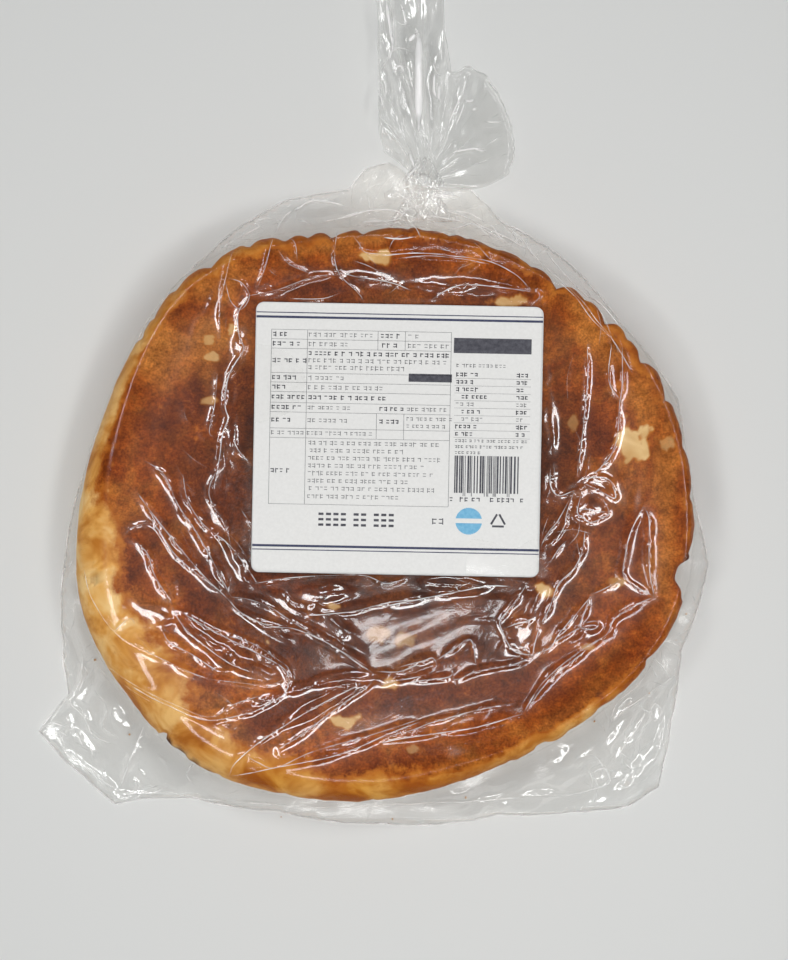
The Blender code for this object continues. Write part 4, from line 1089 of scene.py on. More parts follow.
def film_top(x, y, creases):
    """Height of the film with its creases, folds and waves."""
    bearing, reach = polar(x, y)
    face, widest = film_rims(bearing)
    edge = edge_reach(bearing)
    leaning, glared = glare_relief(x, y)
    waves = sum(height * (1 + lumps(x, y, size, seed)) for size, height, seed in TAUT_WAVES) - TAUT_LOWER
    waves = waves * ease(0, TAUT_START, widest - reach)
    size, height, seed = RIM_CRUMPLE
    crumple = height * (1 - ease(0, CRUMPLE_STOP, widest - reach)) * lumps(x, y, size, seed)
    waves = np.maximum(waves + crumple, LOWEST_WAVE) * (1 - WAVES_CALMED * glared)
    relief = crease_relief(x, y, creases) + waves + valley_waves(x, y)
    # The rise to the neck, and the folds of the shoulder round it
    near_neck = np.hypot(x - NECK_X, (y - NECK_Y) * NECK_SQUASH)
    relief = relief + NECK_LIFT * np.exp(-((near_neck / NECK_LIFT_REACH) ** 2))
    shoulder = np.exp(-((near_neck / SHOULDER_REACH) ** 2))
    shoulder = shoulder * ease(widest - SHOULDER_IN, widest + SHOULDER_OUT, reach)
    relief = relief + shoulder * np.maximum(folds(x, y, NECK_FOLDS), LOWEST_NECK_FOLD)
    # The leaning places, which stay off the rim, and over the bread the softly stopped dips
    by_rim = ease(face - GLARE_OFF_RIM, face, reach) * ease(widest + GLARE_OFF_RIM, widest, reach)
    relief = relief * (1 - CREASES_CALMED * glared * (reach > widest)) + leaning * (1 - by_rim)
    above = relief + DEEPEST_DIP
    held_up = 0.5 * (above + np.sqrt(above**2 + DIP_ROUNDING**2)) - DEEPEST_DIP
    relief = np.where(reach < widest, held_up, relief)
    # The folds of the loose film
    out = way_out(reach, widest, edge)
    loose = ease(LOOSE_FROM, LOOSE_FULL, edge - widest) * ease(*LOOSE_START, out) * ease(*LOOSE_STOP, out)
    loose = loose * patches(x, y, *LOOSE_STRETCHES) * (1 - FOLDS_CALMED * glared)
    round_rim = np.radians(bearing) * LOOSE_ROUND / LOOSE_STRETCH
    relief = relief + loose * np.maximum(folds(round_rim, reach, LOOSE_FOLDS), LOWEST_LOOSE)
    flat = np.minimum(past_label(x, y) / FLAT_BY_LABEL, (edge - reach) / FLAT_BY_EDGE)
    return bare_film(x, y) + relief * np.clip(flat, 0, 1)


def film_underside(x, y):
    """Flat on the table under the bread, lifting to the bag's edge."""
    bearing, reach = polar(x, y)
    start = bread_reach(bearing) - UNDERSIDE_CURL
    lift = np.clip((reach - start) / (edge_reach(bearing) - start), 0, 1)
    size, height, seed = UNDER_WAVES
    wavy = height * (1 + lumps(x, y, size, seed)) * ease(0, 0.3, lift) * ease(1, 0.9, lift)
    return UNDER_HEIGHT + wavy + (edge_height(bearing) - UNDER_HEIGHT) * lift**2


def film_grid(spacing, allowed):
    """Points in a jittered triangular pattern, where allowed."""
    rows = math.ceil(GRID_REACH / (spacing * ROW_SHARE))
    column, row = np.meshgrid(np.arange(-rows, rows + 1), np.arange(-rows, rows + 1))
    x, y = (column + 0.5 * (row % 2)) * spacing, row * spacing * ROW_SHARE
    x, y = rough(x, y, GRID_JITTER, x).ravel(), y.ravel()
    keep = allowed(x, y)
    return np.stack([x[keep], y[keep]], 1)


def triangulate(border, lines, loose):
    """Flat triangles inside the border, with the lines among their edges."""
    points = [tuple(point) for point in border]
    edges = [(k, (k + 1) % len(points)) for k in range(len(points))]
    for line in lines:
        edges += [(len(points) + k, len(points) + k + 1) for k in range(len(line) - 1)]
        points += [tuple(point) for point in line]
    points += [tuple(point) for point in loose]
    flat, _, faces, sources, _, _ = delaunay_2d_cdt(points, edges, [], INSIDE_ONLY, SAME_POINT)
    found_at = {source: index for index, found in enumerate(sources) for source in found}
    flat = np.array([tuple(point) for point in flat])
    return flat, faces, [found_at[k] for k in range(len(border))]


def clear_of(lines, x, y, gap):
    """True where a place is at least a gap from every line, by the cells the lines pass through."""
    cells = set()
    for line in lines:
        for px, py in np.round(line / gap).astype(int):
            cells.add((px, py))
    columns, rows = np.round(x / gap).astype(int), np.round(y / gap).astype(int)
    return np.array([cell not in cells for cell in zip(columns, rows)])


creases = [(h, w, g, smooth_run(points)) for h, w, g, *points in [*CREASES, *strewn_creases()]]
creases = [c for c in creases if len(c[3]) > 2]
border_bearing = np.arange(round(360 / BORDER_STEP)) * BORDER_STEP
border_reach = edge_reach(border_bearing) - BORDER_IN
border_reach = rough(*at_bearing(border_bearing, BORDER_ROUND), BORDER_WANDER, border_reach)
border = np.stack(at_bearing(border_bearing, border_reach), 1)


def inside_bag(x, y):
    bearing, reach = polar(x, y)
    return reach < np.interp(bearing, border_bearing, border_reach, period=360) - OFF_BORDER


def may_crease(x, y):
    return inside_bag(x, y) & (past_label(x, y) > CREASE_OFF_LABEL)


lines = []
for _, _, _, line in creases:
    keep = may_crease(*line.T)
    runs = np.split(line, np.flatnonzero(np.diff(keep.astype(int))) + 1)
    lines += [run for run in runs if len(run) > 2 and may_crease(*run[1])]
side_bearing = np.arange(0, 360, SIDE_RING_STEP)
inner, outer = film_rims(side_bearing)
for part in SIDE_RINGS:
    ring = np.stack(at_bearing(side_bearing, inner + part * (outer - inner)), 1)
    if inside_bag(*ring.T).all():
        lines.append(np.vstack([ring, ring[:1]]))


def open_film(x, y):
    """True where the film may have a point of its own, under the label only here and there."""
    spare = inside_bag(x, y) & clear_of(lines, x, y, OFF_CREASES)
    under_label = past_label(x, y) < -3
    sparse = (np.round(x / FILM_SPACING * 2) % 6 == 0) & (np.round(y / FILM_SPACING / 0.866) % 3 == 0)
    return spare & (~under_label | sparse)


top_flat, top_faces, top_rim = triangulate(border, lines, film_grid(FILM_SPACING, open_film))
under_flat, under_faces, under_rim = triangulate(border, [], film_grid(UNDER_SPACING, inside_bag))
top_height = film_top(top_flat[:, 0], top_flat[:, 1], creases)
rim_height = edge_height(border_bearing)
top_height[top_rim] = rim_height
under_height = film_underside(under_flat[:, 0], under_flat[:, 1])
under_points = np.column_stack([under_flat, under_height])
points = np.vstack([np.column_stack([top_flat, top_height]), under_points])
joined = {len(top_flat) + under: top for top, under in zip(top_rim, under_rim)}
faces = [list(face) for face in top_faces]
for face in under_faces:
    corners = [len(top_flat) + k for k in reversed(face)]
    faces.append([joined.get(k, k) for k in corners])
kept = np.ones(len(points), bool)
kept[list(joined)] = False
number = np.cumsum(kept) - 1
faces = [[int(number[k]) for k in face] for face in faces]

# Where the film clings to the rim it hardly shines. By the knot it is dull in patches and a little milky,
# the milkiness and the lighter tint there partly painted light against the bread's shadow
x, y = points[:, 0], points[:, 1]
bearing, reach = polar(x, y)
past_rim, off_knot = reach - bread_reach(bearing), np.hypot(x - NECK_X, y - NECK_Y)
off_rim = np.where(past_rim < 0, -past_rim / around(CLING_REACH, bearing), past_rim / CLING_PAST_RIM)
# Near the knot the tint is kept lighter: painted light against the bread's shadow
slack = ease(*SLACK_START, past_rim) * (1 - NECK_PAINTED_LIGHT * ease(*NECK_NEAR, off_knot))
clings = ease(*CLING_FADE, off_rim) * patches(x, y, *CLING_PATCHES) * around(CLING_DULLS, bearing)
duller = ease(*KNOT_DULL, off_knot) * patches(x, y, *KNOT_PATCHES)
clings = np.maximum(clings, KNOT_DULLS * duller * (past_rim > 0))
knot_milk_and_painted_light = MILKINESS_AND_PAINTED_LIGHT * ease(*KNOT_MILK_AND_PAINTED_LIGHT, off_knot) * ease(-1, 3, past_rim)


def mix_of(tree, part, first, second):
    """The output of two shaders mixed."""
    return put(tree, "ShaderNodeMixShader", {0: part, 1: first, 2: second}).outputs[0]


film, tree, where = new_finish("clear_film")
ripple = noise(tree, where, 130.0, 3.0, 0.55, 0.8)
bump = put(tree, "ShaderNodeBump", {"Strength": 0.07, "Distance": 0.0012, "Height": ripple})
facing = put(tree, "ShaderNodeLayerWeight", {"Blend": 0.5}).outputs["Facing"]
shine = sum_of(tree, sum_of(tree, facing, SLANT_POWER, "POWER"), SHINE_SLANT, "MULTIPLY")
shine = sum_of(tree, shine, SHINE_STRAIGHT)
kept_shine = sum_of(tree, 1.0, sum_of(tree, marked(tree, "clings"), 0.95, "MULTIPLY"), "SUBTRACT")
shine = sum_of(tree, shine, kept_shine, "MULTIPLY")
glosses = {"Color": (1, 1, 1, 1), "Normal": bump.outputs[0]}
sharp_gloss, soft_gloss = (
    put(tree, "ShaderNodeBsdfGlossy", {**glosses, "Roughness": roughness}) for roughness in FILM_ROUGHNESS
)
gloss = mix_of(tree, SOFT_SHARE, sharp_gloss.outputs[0], soft_gloss.outputs[0])
tint = blend(tree, marked(tree, "slack"), TIGHT_TINT, SLACK_TINT)
clear = put(tree, "ShaderNodeBsdfTransparent", {"Color": tint})
# The milky part by the knot is partly painted light, lifting the bread's shadow under it
cloudy_and_painted_light = put(tree, "ShaderNodeBsdfDiffuse", {"Color": CLOUDY_PAINTED_LIGHT_TINT})
cloudy_and_painted_light_part = ramp(tree, ripple, greys((0.35, 0.6), (0.65, 1.0)))
cloudy_and_painted_light_part = sum_of(tree, marked(tree, "milky_and_painted_light"), cloudy_and_painted_light_part, "MULTIPLY")
body = mix_of(tree, cloudy_and_painted_light_part, clear.outputs[0], cloudy_and_painted_light.outputs[0])
put_out(tree, mix_of(tree, shine, body, gloss))

bag_film = make_piece("bag_film", points[kept], faces, film)
mark(bag_film, "clings", clings[kept])
mark(bag_film, "slack", slack[kept])
mark(bag_film, "milky_and_painted_light", knot_milk_and_painted_light[kept])
bag_film.visible_shadow = False
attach(bag_film, "root")
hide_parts("bag")


# The film's crease lines
# Where the film is folded hard it turns milky, and its white line is partly that milkiness and partly a
# painted highlight for the light it catches. Geometry Nodes run a thin rounded bead of film along every
# crease and round the bag's edge.

# How wide the lines are, how high they stand off the film, and their seed
LINE_WIDTH, LINE_LIFT, LINE_SEED = 0.19, 0.05, 17
# A line has this many points or more, keeps this far off the label, and thins out over this length
LEAST_LINE, LINE_OFF_LABEL, LINE_ENDS, LINE_END_SHARE = 4, 0.3, 3, 0.2
# How its width varies along it: size, seed, usual share, more or less
LINE_VARIES = (6.0, 51, 0.75, 0.5)
# How its width goes with its painted gleam, and how brightly that painted highlight gleams: least, rest;
# usual, range
WIDTH_BY_PAINTED_GLEAM, LINE_PAINTED_GLEAM, PAINTED_GLEAM_RANGE = (0.40, 0.65), 0.75, (0.5, 1.1)
# The bead along the bag's edge: width and painted gleam. It comes and goes in stretches
EDGE_LINE, EDGE_FLICKER = (0.28, 0.45), (9.0, 52, -0.1, 0.6, 0.35, 0.65)
CREASE_MILK_AND_PAINTED_GLINT = (0.96, 0.95, 0.94, 1)

# The starting lines hold their widths in millimetres
bead_sizes = {"Width": MM, "Sides": 5}
bead_tree, given = new_tree("film_beads", {**bead_sizes, "Finish": None})
along = put(bead_tree, "GeometryNodeMeshToCurve", {"Mesh": given.outputs["Geometry"]})
round_bead = {"Resolution": given.outputs["Sides"], "Radius": 1.0}
loop = put(bead_tree, "GeometryNodeCurvePrimitiveCircle", round_bead)
thick = sum_of(bead_tree, number_at(bead_tree, "width"), given.outputs["Width"], "MULTIPLY")
bead = put(
    bead_tree, "GeometryNodeCurveToMesh",
    {"Curve": along.outputs[0], "Profile Curve": loop.outputs[0], "Scale": thick, "Fill Caps": True},
)
whole = put(bead_tree, "GeometryNodeRealizeInstances", {"Geometry": bead.outputs[0]})
smooth = put(bead_tree, "GeometryNodeSetShadeSmooth", {"Geometry": whole.outputs[0]})
give_out(bead_tree, smooth.outputs[0], given)

# The beads' white is partly the milkiness of a hard fold and partly a painted highlight for the crease's
# glint
milky_and_painted_light, tree, where = new_finish("creased_film_and_painted_gleam")
broken = noise(tree, where, 190.0, 2.0, 0.6)
strength = sum_of(tree, marked(tree, "painted_gleam"), mapped(tree, broken, (0.24, 0.40)), "MULTIPLY")
milk_and_painted_glint = surface(tree, CREASE_MILK_AND_PAINTED_GLINT, 0.22, {"Specular IOR Level": 0.8})
clear = put(tree, "ShaderNodeBsdfTransparent", {"Color": (1, 1, 1, 1)})
put_out(tree, mix_of(tree, strength, clear.outputs[0], milk_and_painted_glint))


def beads(name, lines):
    """Thin beads of creased film, white partly with milkiness and partly with a painted highlight. A line is
    its points, the width and the painted gleam at each of them.
    """
    spots, edges, widths, painted_gleams = [], [], [], []
    for line, width, painted_gleam in lines:
        first = len(spots)
        spots += [tuple(point) for point in line]
        edges += [(first + k, first + k + 1) for k in range(len(line) - 1)]
        widths += list(width)
        painted_gleams += list(painted_gleam)
    start = make_piece(name + "_paths", spots, [], milky_and_painted_light, edges)
    mark(start, "width", widths)
    mark(start, "painted_gleam", painted_gleams)
    return grown(name, start, bead_tree, bead_sizes, milky_and_painted_light)


draw = np.random.default_rng(LINE_SEED)
shown_runs = []
for _, _, painted_gleam, line in creases:
    run = line[inside_bag(*line.T) & (past_label(*line.T) > LINE_OFF_LABEL)]
    if len(run) < LEAST_LINE:
        continue
    steps = np.hypot(*np.diff(run, axis=0).T)
    if steps.max() > 2 * CREASE_STEP:
        run = run[: int(steps.argmax()) + 1]
    if len(run) >= LEAST_LINE:
        shown_runs.append((run, painted_gleam))
run_ends = np.cumsum([len(run) for run, _ in shown_runs])
every_x, every_y = np.vstack([run for run, _ in shown_runs]).T
run_heights = np.split(film_top(every_x, every_y, creases) + LINE_LIFT, run_ends[:-1])
crease_lines = []
for (run, painted_gleam), z in zip(shown_runs, run_heights):
    place = np.arange(len(run)) * CREASE_STEP
    fade = ease(0, LINE_ENDS, np.minimum(place, place[-1] - place)) * (1 - LINE_END_SHARE) + LINE_END_SHARE
    size, seed, usual, more = LINE_VARIES
    vary = usual + more * lumps(place, np.full_like(place, 100 * draw.uniform()), size, seed)
    least, rest = WIDTH_BY_PAINTED_GLEAM
    width = LINE_WIDTH * (least + rest * painted_gleam) * vary * (0.5 + 0.5 * fade)
    painted_brightness = LINE_PAINTED_GLEAM * painted_gleam * fade * np.clip(vary, *PAINTED_GLEAM_RANGE)
    crease_lines.append((np.column_stack([run, z]), width, painted_brightness))
edge_line = np.column_stack([border, rim_height])
edge_line = np.vstack([edge_line, edge_line[:2]])
flicker = patches(edge_line[:, 0], edge_line[:, 1], *EDGE_FLICKER)
crease_lines.append((edge_line, EDGE_LINE[0] * (0.5 + flicker), EDGE_LINE[1] * flicker))
film_creases = beads("film_creases", crease_lines)
film_creases.visible_shadow = False
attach(film_creases, "root")


# The tail
# Above the knot the film fans out again: the open end of the bag, pressed flat in loose pleats with
# bright ridges, white partly with milkiness and partly with a painted highlight. It is two sheets joined
# along their edge.

TAIL_REACH = (
    (-6, 18), (8, 34), (24, 40), (42, 45), (60, 50), (69, 49), (76, 46), (82, 58), (86, 88),
    (90, 98), (97, 100), (102, 96), (106, 64), (114, 42), (126, 30), (142, 19),
)
TAIL_ROOT, TAIL_RAYS, TAIL_RINGS, TAIL_GAP = 3.0, 220, 60, 1.6
TAIL_PLEATS, TAIL_PLEAT_HEIGHT, PLEAT_ROUNDING = 7, 5.0, 0.8
# The pleats sway, by size, amount and seed, and are high or low, by size, seed, usual share and range
PLEAT_SWAY, PLEAT_RANGE = ((26.0, 2.2, 61),), (20.0, 60, 0.75, 0.5)
# Near the knot they're this share of their height, and full after this length. The lower sheet's and
# the upper's share
PLEAT_START, PLEAT_FULL, SHEET_SHARE = 0.25, 16.0, (0.75, 0.9)
# Small pleats: how much narrower than long, size, height, seed
SMALL_PLEATS = ((2.2, 9.0, 0.9, 62), (2.0, 4.0, 0.4, 64))
# Only the left part is pleated: where it begins, and what the pleats and small pleats are on the right
LEFT_PART, RIGHT_PLEATS, RIGHT_SMALL = (0.35, 0.6), (0.02, 0.98), (0.10, 0.90)
# The tail's height at the knot, how it droops over what length, and how its right side falls
TAIL_RISE, TAIL_DROOP, DROOP_LENGTH, TAIL_SIDE_FALL = 10.0, 1.2, 142, 0.2
# How the outline wanders, by size, amount and seed, and how low the sheets may lie
TAIL_WANDER, TAIL_LOWEST = ((3.0, 0.6, 66),), 0.5
# Bright ridges: width, painted gleam, then x and y of the points along it
TAIL_RIDGES = (
    (0.9, 1.0, 1, 201, 2, 195, 3, 188, 4, 181),
    (0.5, 0.8, 4, 198, 4, 186, 3, 177),
    (0.6, 0.9, 7, 201, 8, 198, 9, 193),
    (0.3, 0.5, 4, 194, 7, 193, 10, 193),
    (2.6, 1.0, 13, 191, 14, 186, 14, 177, 14, 165, 14, 156, 14, 150),
    (1.2, 0.9, 10, 186, 11, 187, 13, 189),
    (0.4, 0.8, -1, 175, 2, 178, 5, 182, 8, 183, 11, 182),
    (0.6, 0.9, 4, 172, 5, 174, 7, 175, 8, 173, 6, 172),
    (0.5, 0.9, 7, 175, 10, 175, 11, 170, 13, 165),
    (0.3, 0.5, 8, 172, 10, 168, 11, 164),
    (0.6, 0.9, -2, 167, -1, 164, 0, 159),
    (0.3, 0.6, 2, 168, 0, 163, 0, 160),
    (0.4, 0.7, 19, 176, 21, 172, 23, 172),
    (0.7, 0.9, 20, 172, 20, 165, 21, 162),
    (0.9, 1.0, 22, 169, 22, 162),
    (0.4, 0.8, 33, 167, 30, 162, 27, 156, 25, 150),
    (0.4, 0.8, 32, 162, 31, 158, 28, 151),
    (0.8, 0.9, 32, 162, 34, 162, 36, 163),
    (0.8, 0.9, 35, 159, 37, 160),
    (0.4, 0.7, 40, 155, 46, 155, 48, 156),
    (0.5, 0.9, 27, 142, 31, 143, 36, 144, 40, 144),
    (0.4, 0.7, 35, 144, 41, 143),
    (0.3, 0.6, 22, 150, 23, 148, 22, 143),
    (0.5, 0.7, 17, 147, 18, 144, 17, 142),
    (0.8, 1.0, 10, 141, 12, 136, 12, 135),
    (0.4, 0.6, 5, 142, 7, 141),
)
# How far apart a ridge's points are and how high it stands. The fine ones: first ray, rays between
# them, which rings, width. How they and the outline come and go, and the outline's width
RIDGE_STEP, RIDGE_LIFT = 0.9, 0.1
FIRST_RAY, RAYS_APART, RAY_RINGS, RAY_WIDTH = 6, 17, slice(8, TAIL_RINGS - 4, 2), 0.18
RAY_FLICKER, OUTLINE_FLICKER, OUTLINE_WIDTH = (8.0, 67, -0.1, 0.7), (7.0, 68, 0, 0.7, 0.2, 0.6), 0.25


def tail_height(x, y, turn, reach, over):
    """Loose pleats that open out from the knot, higher on the upper sheet than on the lower."""
    out = reach - TAIL_ROOT
    opening = np.minimum(1, PLEAT_START + (1 - PLEAT_START) * out / PLEAT_FULL)
    pleat = np.sin(rough(x, y, PLEAT_SWAY, 2 * np.pi * TAIL_PLEATS * turn))
    size, seed, usual, more = PLEAT_RANGE
    pleat = pleat * (usual + more * lumps(x, y, size, seed))
    pleat = TAIL_PLEAT_HEIGHT * opening * np.sign(pleat) * np.abs(pleat) ** PLEAT_ROUNDING
    small = sum(
        height * lumps(x * narrower, y, size, seed + over) for narrower, size, height, seed in SMALL_PLEATS
    )
    left_part = ease(*LEFT_PART, turn)
    pleat = pleat * (RIGHT_PLEATS[0] + RIGHT_PLEATS[1] * left_part)
    small = small * (RIGHT_SMALL[0] + RIGHT_SMALL[1] * left_part)
    lying = TAIL_SIDE_FALL * np.maximum(x - NECK_X, 0) * (1 - left_part)
    return TAIL_RISE - lying - TAIL_DROOP * out / DROOP_LENGTH + pleat * SHEET_SHARE[over] + small * opening


def tail_points():
    """Rays about the knot on an upper and a lower sheet: their places and the heights of both sheets."""
    first, last = TAIL_REACH[0][0], TAIL_REACH[-1][0]
    turn = np.linspace(0, 1, TAIL_RAYS + 1)[:, None]
    ring = np.linspace(0, 1, TAIL_RINGS + 1)[None]
    bearing = first + (last - first) * turn
    length = np.interp(bearing, *np.array(TAIL_REACH, float).T) - TAIL_ROOT
    reach = TAIL_ROOT + rough(bearing, bearing * 0, TAIL_WANDER, length) * ring
    x, y = at_bearing(bearing, reach)
    x, y = x + NECK_X, y + NECK_Y
    off_end, off_side = np.minimum(ring, 1 - ring), ease(0, 0.02, np.minimum(turn, 1 - turn))
    apart, edge = TAIL_GAP * ease(0, 0.06, off_end) * off_side, ease(0, 0.05, off_end) * off_side
    upper = tail_height(x, y, turn, reach, 1)
    lower = tail_height(x, y, turn, reach, 0)
    middle = 0.5 * (upper + lower)
    upper = np.maximum(upper, lower + 0.4)
    upper = middle + (upper - middle + apart) * edge
    lower = np.maximum(middle - (middle - lower + apart) * edge, TAIL_LOWEST)
    upper = np.maximum(upper, lower + 0.1 * edge)
    return x, y, upper, lower


tail_x, tail_y, upper, lower = tail_points()
count = tail_x.size
grid = np.arange(count).reshape(tail_x.shape)
on_edge = np.zeros(tail_x.shape, bool)
on_edge[0], on_edge[-1], on_edge[:, 0], on_edge[:, -1] = True, True, True, True
below = np.where(on_edge, grid, grid + count)
faces = []
for sheet, turned in ((grid, False), (below, True)):
    a, b, c, d = sheet[:-1, :-1], sheet[:-1, 1:], sheet[1:, 1:], sheet[1:, :-1]
    quads = np.stack([a, b, c, d], -1).reshape(-1, 4)
    faces += (quads[:, ::-1] if turned else quads).tolist()
points = np.vstack([
    np.column_stack([tail_x.ravel(), tail_y.ravel(), upper.ravel()]),
    np.column_stack([tail_x.ravel(), tail_y.ravel(), lower.ravel()]),
])
kept = np.append(np.ones(count, bool), ~on_edge.ravel())
number = np.cumsum(kept) - 1
faces = [[int(number[k]) for k in face] for face in faces]
tail = make_piece("bag_tail", points[kept], faces, film)
pleated = ease(*LEFT_PART, np.linspace(0, 1, TAIL_RAYS + 1)[:, None])
greyer = (1.0 - 0.4 * pleated * np.ones_like(tail_x)).ravel()
mark(tail, "slack", np.append(greyer, greyer)[kept])
tail.visible_shadow = False
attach(tail, "root")


def tail_top(x, y):
    """Height of the tail's upper sheet at a place, from the nearest of its points."""
    spot = ((tail_x - x) ** 2 + (tail_y - y) ** 2).argmin()
    return upper.ravel()[spot]


# The traced ridges, each a smoothed line just above the film, its white partly a painted highlight
ridge_lines = []
for width, painted_gleam, *points in TAIL_RIDGES:
    run = smooth_run(points, RIDGE_STEP)
    z = np.array([tail_top(*spot) for spot in run])
    z = np.convolve(np.pad(z, 2, "edge"), np.ones(5) / 5, "valid") + RIDGE_LIFT
    place = np.linspace(0, 1, len(run))
    fade = 0.35 + 0.65 * ease(0, 0.3, np.minimum(place, 1 - place))
    ridge_lines.append((np.column_stack([run, z]), 0.7 * width * fade, 1.3 * painted_gleam * fade))
# Finer ones along every so many rays, and one round the outline
for ray in range(FIRST_RAY, TAIL_RAYS, RAYS_APART):
    line = np.column_stack([tail_x[ray], tail_y[ray], upper[ray] + LINE_LIFT])[RAY_RINGS]
    flicker = patches(line[:, 0], line[:, 1], *RAY_FLICKER)
    ridge_lines.append((line, RAY_WIDTH * (0.4 + flicker), 0.5 * flicker))
outline = np.concatenate([grid[0, :], grid[:, -1], grid[-1, ::-1]])
line = np.column_stack([tail_x.ravel()[outline], tail_y.ravel()[outline], upper.ravel()[outline]])
line = line[np.append(True, np.hypot(*np.diff(line[:, :2], axis=0).T) > 0.05)]
flicker = patches(line[:, 0], line[:, 1], *OUTLINE_FLICKER)
ridge_lines.append((line, OUTLINE_WIDTH * (0.5 + flicker), 0.5 * flicker))
tail_ridges = beads("tail_ridges", ridge_lines)
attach(tail_ridges, "root")


# The neck
# The mouth of the bag, twisted to a rope of pleats and pulled into a small knot that holds it shut.

# Turns in thirty millimetres, number of pleats, how rounded they are, and their depth: least, pleat
NECK_TURNS, NECK_PLEATS, NECK_ROUNDING, NECK_DEPTH = 0.35, 11, 0.6, (0.80, 0.24)
# Lumps in its depth and along it: size, height, seed. How far outside it the bright ridges run
NECK_LUMPS, NECK_SHIFTS, RIDGE_OUT = ((3.0, 0.05, 71),), ((5.0, 0.5, 72),), 1.06
# Along +Y from the knot: distance, half width, half height
NECK_SECTIONS = (
    (-15, 13.0, 3.2), (-11, 10.6, 4.0), (-7, 7.8, 4.4), (-4, 5.8, 4.6), (-2, 7.0, 6.2), (0, 7.8, 6.8),
    (2, 7.4, 6.4), (4, 5.8, 5.2), (7, 4.4, 3.8), (10, 2.4, 1.8),
)
NECK_SIDES, NECK_RINGS = 132, 64

distances, widths, depths = np.array(NECK_SECTIONS, float).T
along_neck = np.linspace(distances[0], distances[-1], NECK_RINGS)[:, None]
half_width = np.interp(along_neck, distances, widths)
half_depth = np.interp(along_neck, distances, depths)
turn = 2 * np.pi * np.arange(NECK_SIDES)[None] / NECK_SIDES
twist = 2 * np.pi * NECK_TURNS * along_neck / 30.0
fold = np.abs(np.sin(0.5 * NECK_PLEATS * (turn + twist))) ** NECK_ROUNDING
fold = rough(turn * 6, along_neck + turn * 0, NECK_LUMPS, NECK_DEPTH[0] + NECK_DEPTH[1] * fold)
neck_x = NECK_X + half_width * fold * np.cos(turn)
neck_z = NECK_HEIGHT + half_depth * fold * np.sin(turn)
neck_y = rough(turn * 4, along_neck + turn * 0, NECK_SHIFTS, NECK_Y + along_neck)
points = np.stack([neck_x.ravel(), neck_y.ravel(), neck_z.ravel()], 1)
ends = [[NECK_X, NECK_Y + distances[0], NECK_HEIGHT], [NECK_X, NECK_Y + distances[-1], NECK_HEIGHT]]
faces = [face[::-1] for face in ring_faces(NECK_RINGS, NECK_SIDES)]
neck = make_piece("bag_neck", np.vstack([points, ends]), faces, film)
neck.visible_shadow = False
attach(neck, "root")

# Bright lines along the pleats, white partly with milkiness and partly with a painted highlight
neck_lines = []
for k in range(NECK_PLEATS):
    angle = 2 * np.pi * (k + 0.5) / NECK_PLEATS - twist[:, 0]
    line = np.column_stack([
        NECK_X + half_width[:, 0] * RIDGE_OUT * np.cos(angle),
        NECK_Y + along_neck[:, 0],
        NECK_HEIGHT + half_depth[:, 0] * RIDGE_OUT * np.sin(angle),
    ])
    flicker = patches(line[:, 1] * 1.5, line[:, 0], 5.0, 73 + k, -0.2, 0.6)
    neck_lines.append((line[::2], 0.3 * (0.4 + flicker[::2]), 0.9 * flicker[::2]))
neck_ridges = beads("neck_ridges", neck_lines)
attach(neck_ridges, "root")


# The label
# A white semi-gloss paper label with rounded corners, stuck flat on the film, its lower edge a little
# wavy with the film under it.

LABEL_CORNER, CORNER_STEPS, LABEL_BASE, PAPER_THICKNESS = 3.0, 6, 32.8, 0.18
# Points of the paper: how far apart, how far the first is from the top left, and how far in they keep
PAPER_STEP, FIRST_POINT, POINTS_IN = 1.5, 1.2, 0.8
# The wave: size, height, seed; how far down it begins and is full, and how low it may go
PAPER_WAVE, WAVE_DOWN, WAVE_LOW = ((16.0, 0.12, 81),), (60, 100), -0.05


def label_place(across, down):
    """Where a place on the label is, across and down it in millimetres from its top left corner."""
    angle = math.radians(LABEL_TURN)
    off_x, off_y = across - LABEL_WIDTH / 2, LABEL_LENGTH / 2 - down
    x = LABEL_X + off_x * math.cos(angle) - off_y * math.sin(angle)
    y = LABEL_Y + off_x * math.sin(angle) + off_y * math.cos(angle)
    return x, y


def label_height(across, down):
    """The paper's upper face: flat, with a slight wave near its lower edge."""
    wave = rough(across, down, PAPER_WAVE) * ease(*WAVE_DOWN, down)
    return LABEL_BASE + PAPER_THICKNESS + np.maximum(wave, WAVE_LOW)


def label_border():
    """The label's edge with its rounded corners, as places across and down it."""
    border = []
    corners = ((1, 1), (-1, 1), (-1, -1), (1, -1))
    for quarter, (u, v) in enumerate(corners):
        for k in range(CORNER_STEPS + 1):
            angle = math.radians(90 * (quarter + k / CORNER_STEPS))
            across = LABEL_WIDTH / 2 + u * (LABEL_WIDTH / 2 - LABEL_CORNER) + LABEL_CORNER * math.cos(angle)
            up = v * (LABEL_LENGTH / 2 - LABEL_CORNER) + LABEL_CORNER * math.sin(angle)
            border.append((across, LABEL_LENGTH / 2 - up))
    line = [border[0]]
    for start, end in zip(border, border[1:] + border[:1]):
        count = max(1, round(math.dist(start, end) / PAPER_STEP))
        line += [tuple(a + (b - a) * k / count for a, b in zip(start, end)) for k in range(1, count + 1)]
    return np.array(line[:-1])


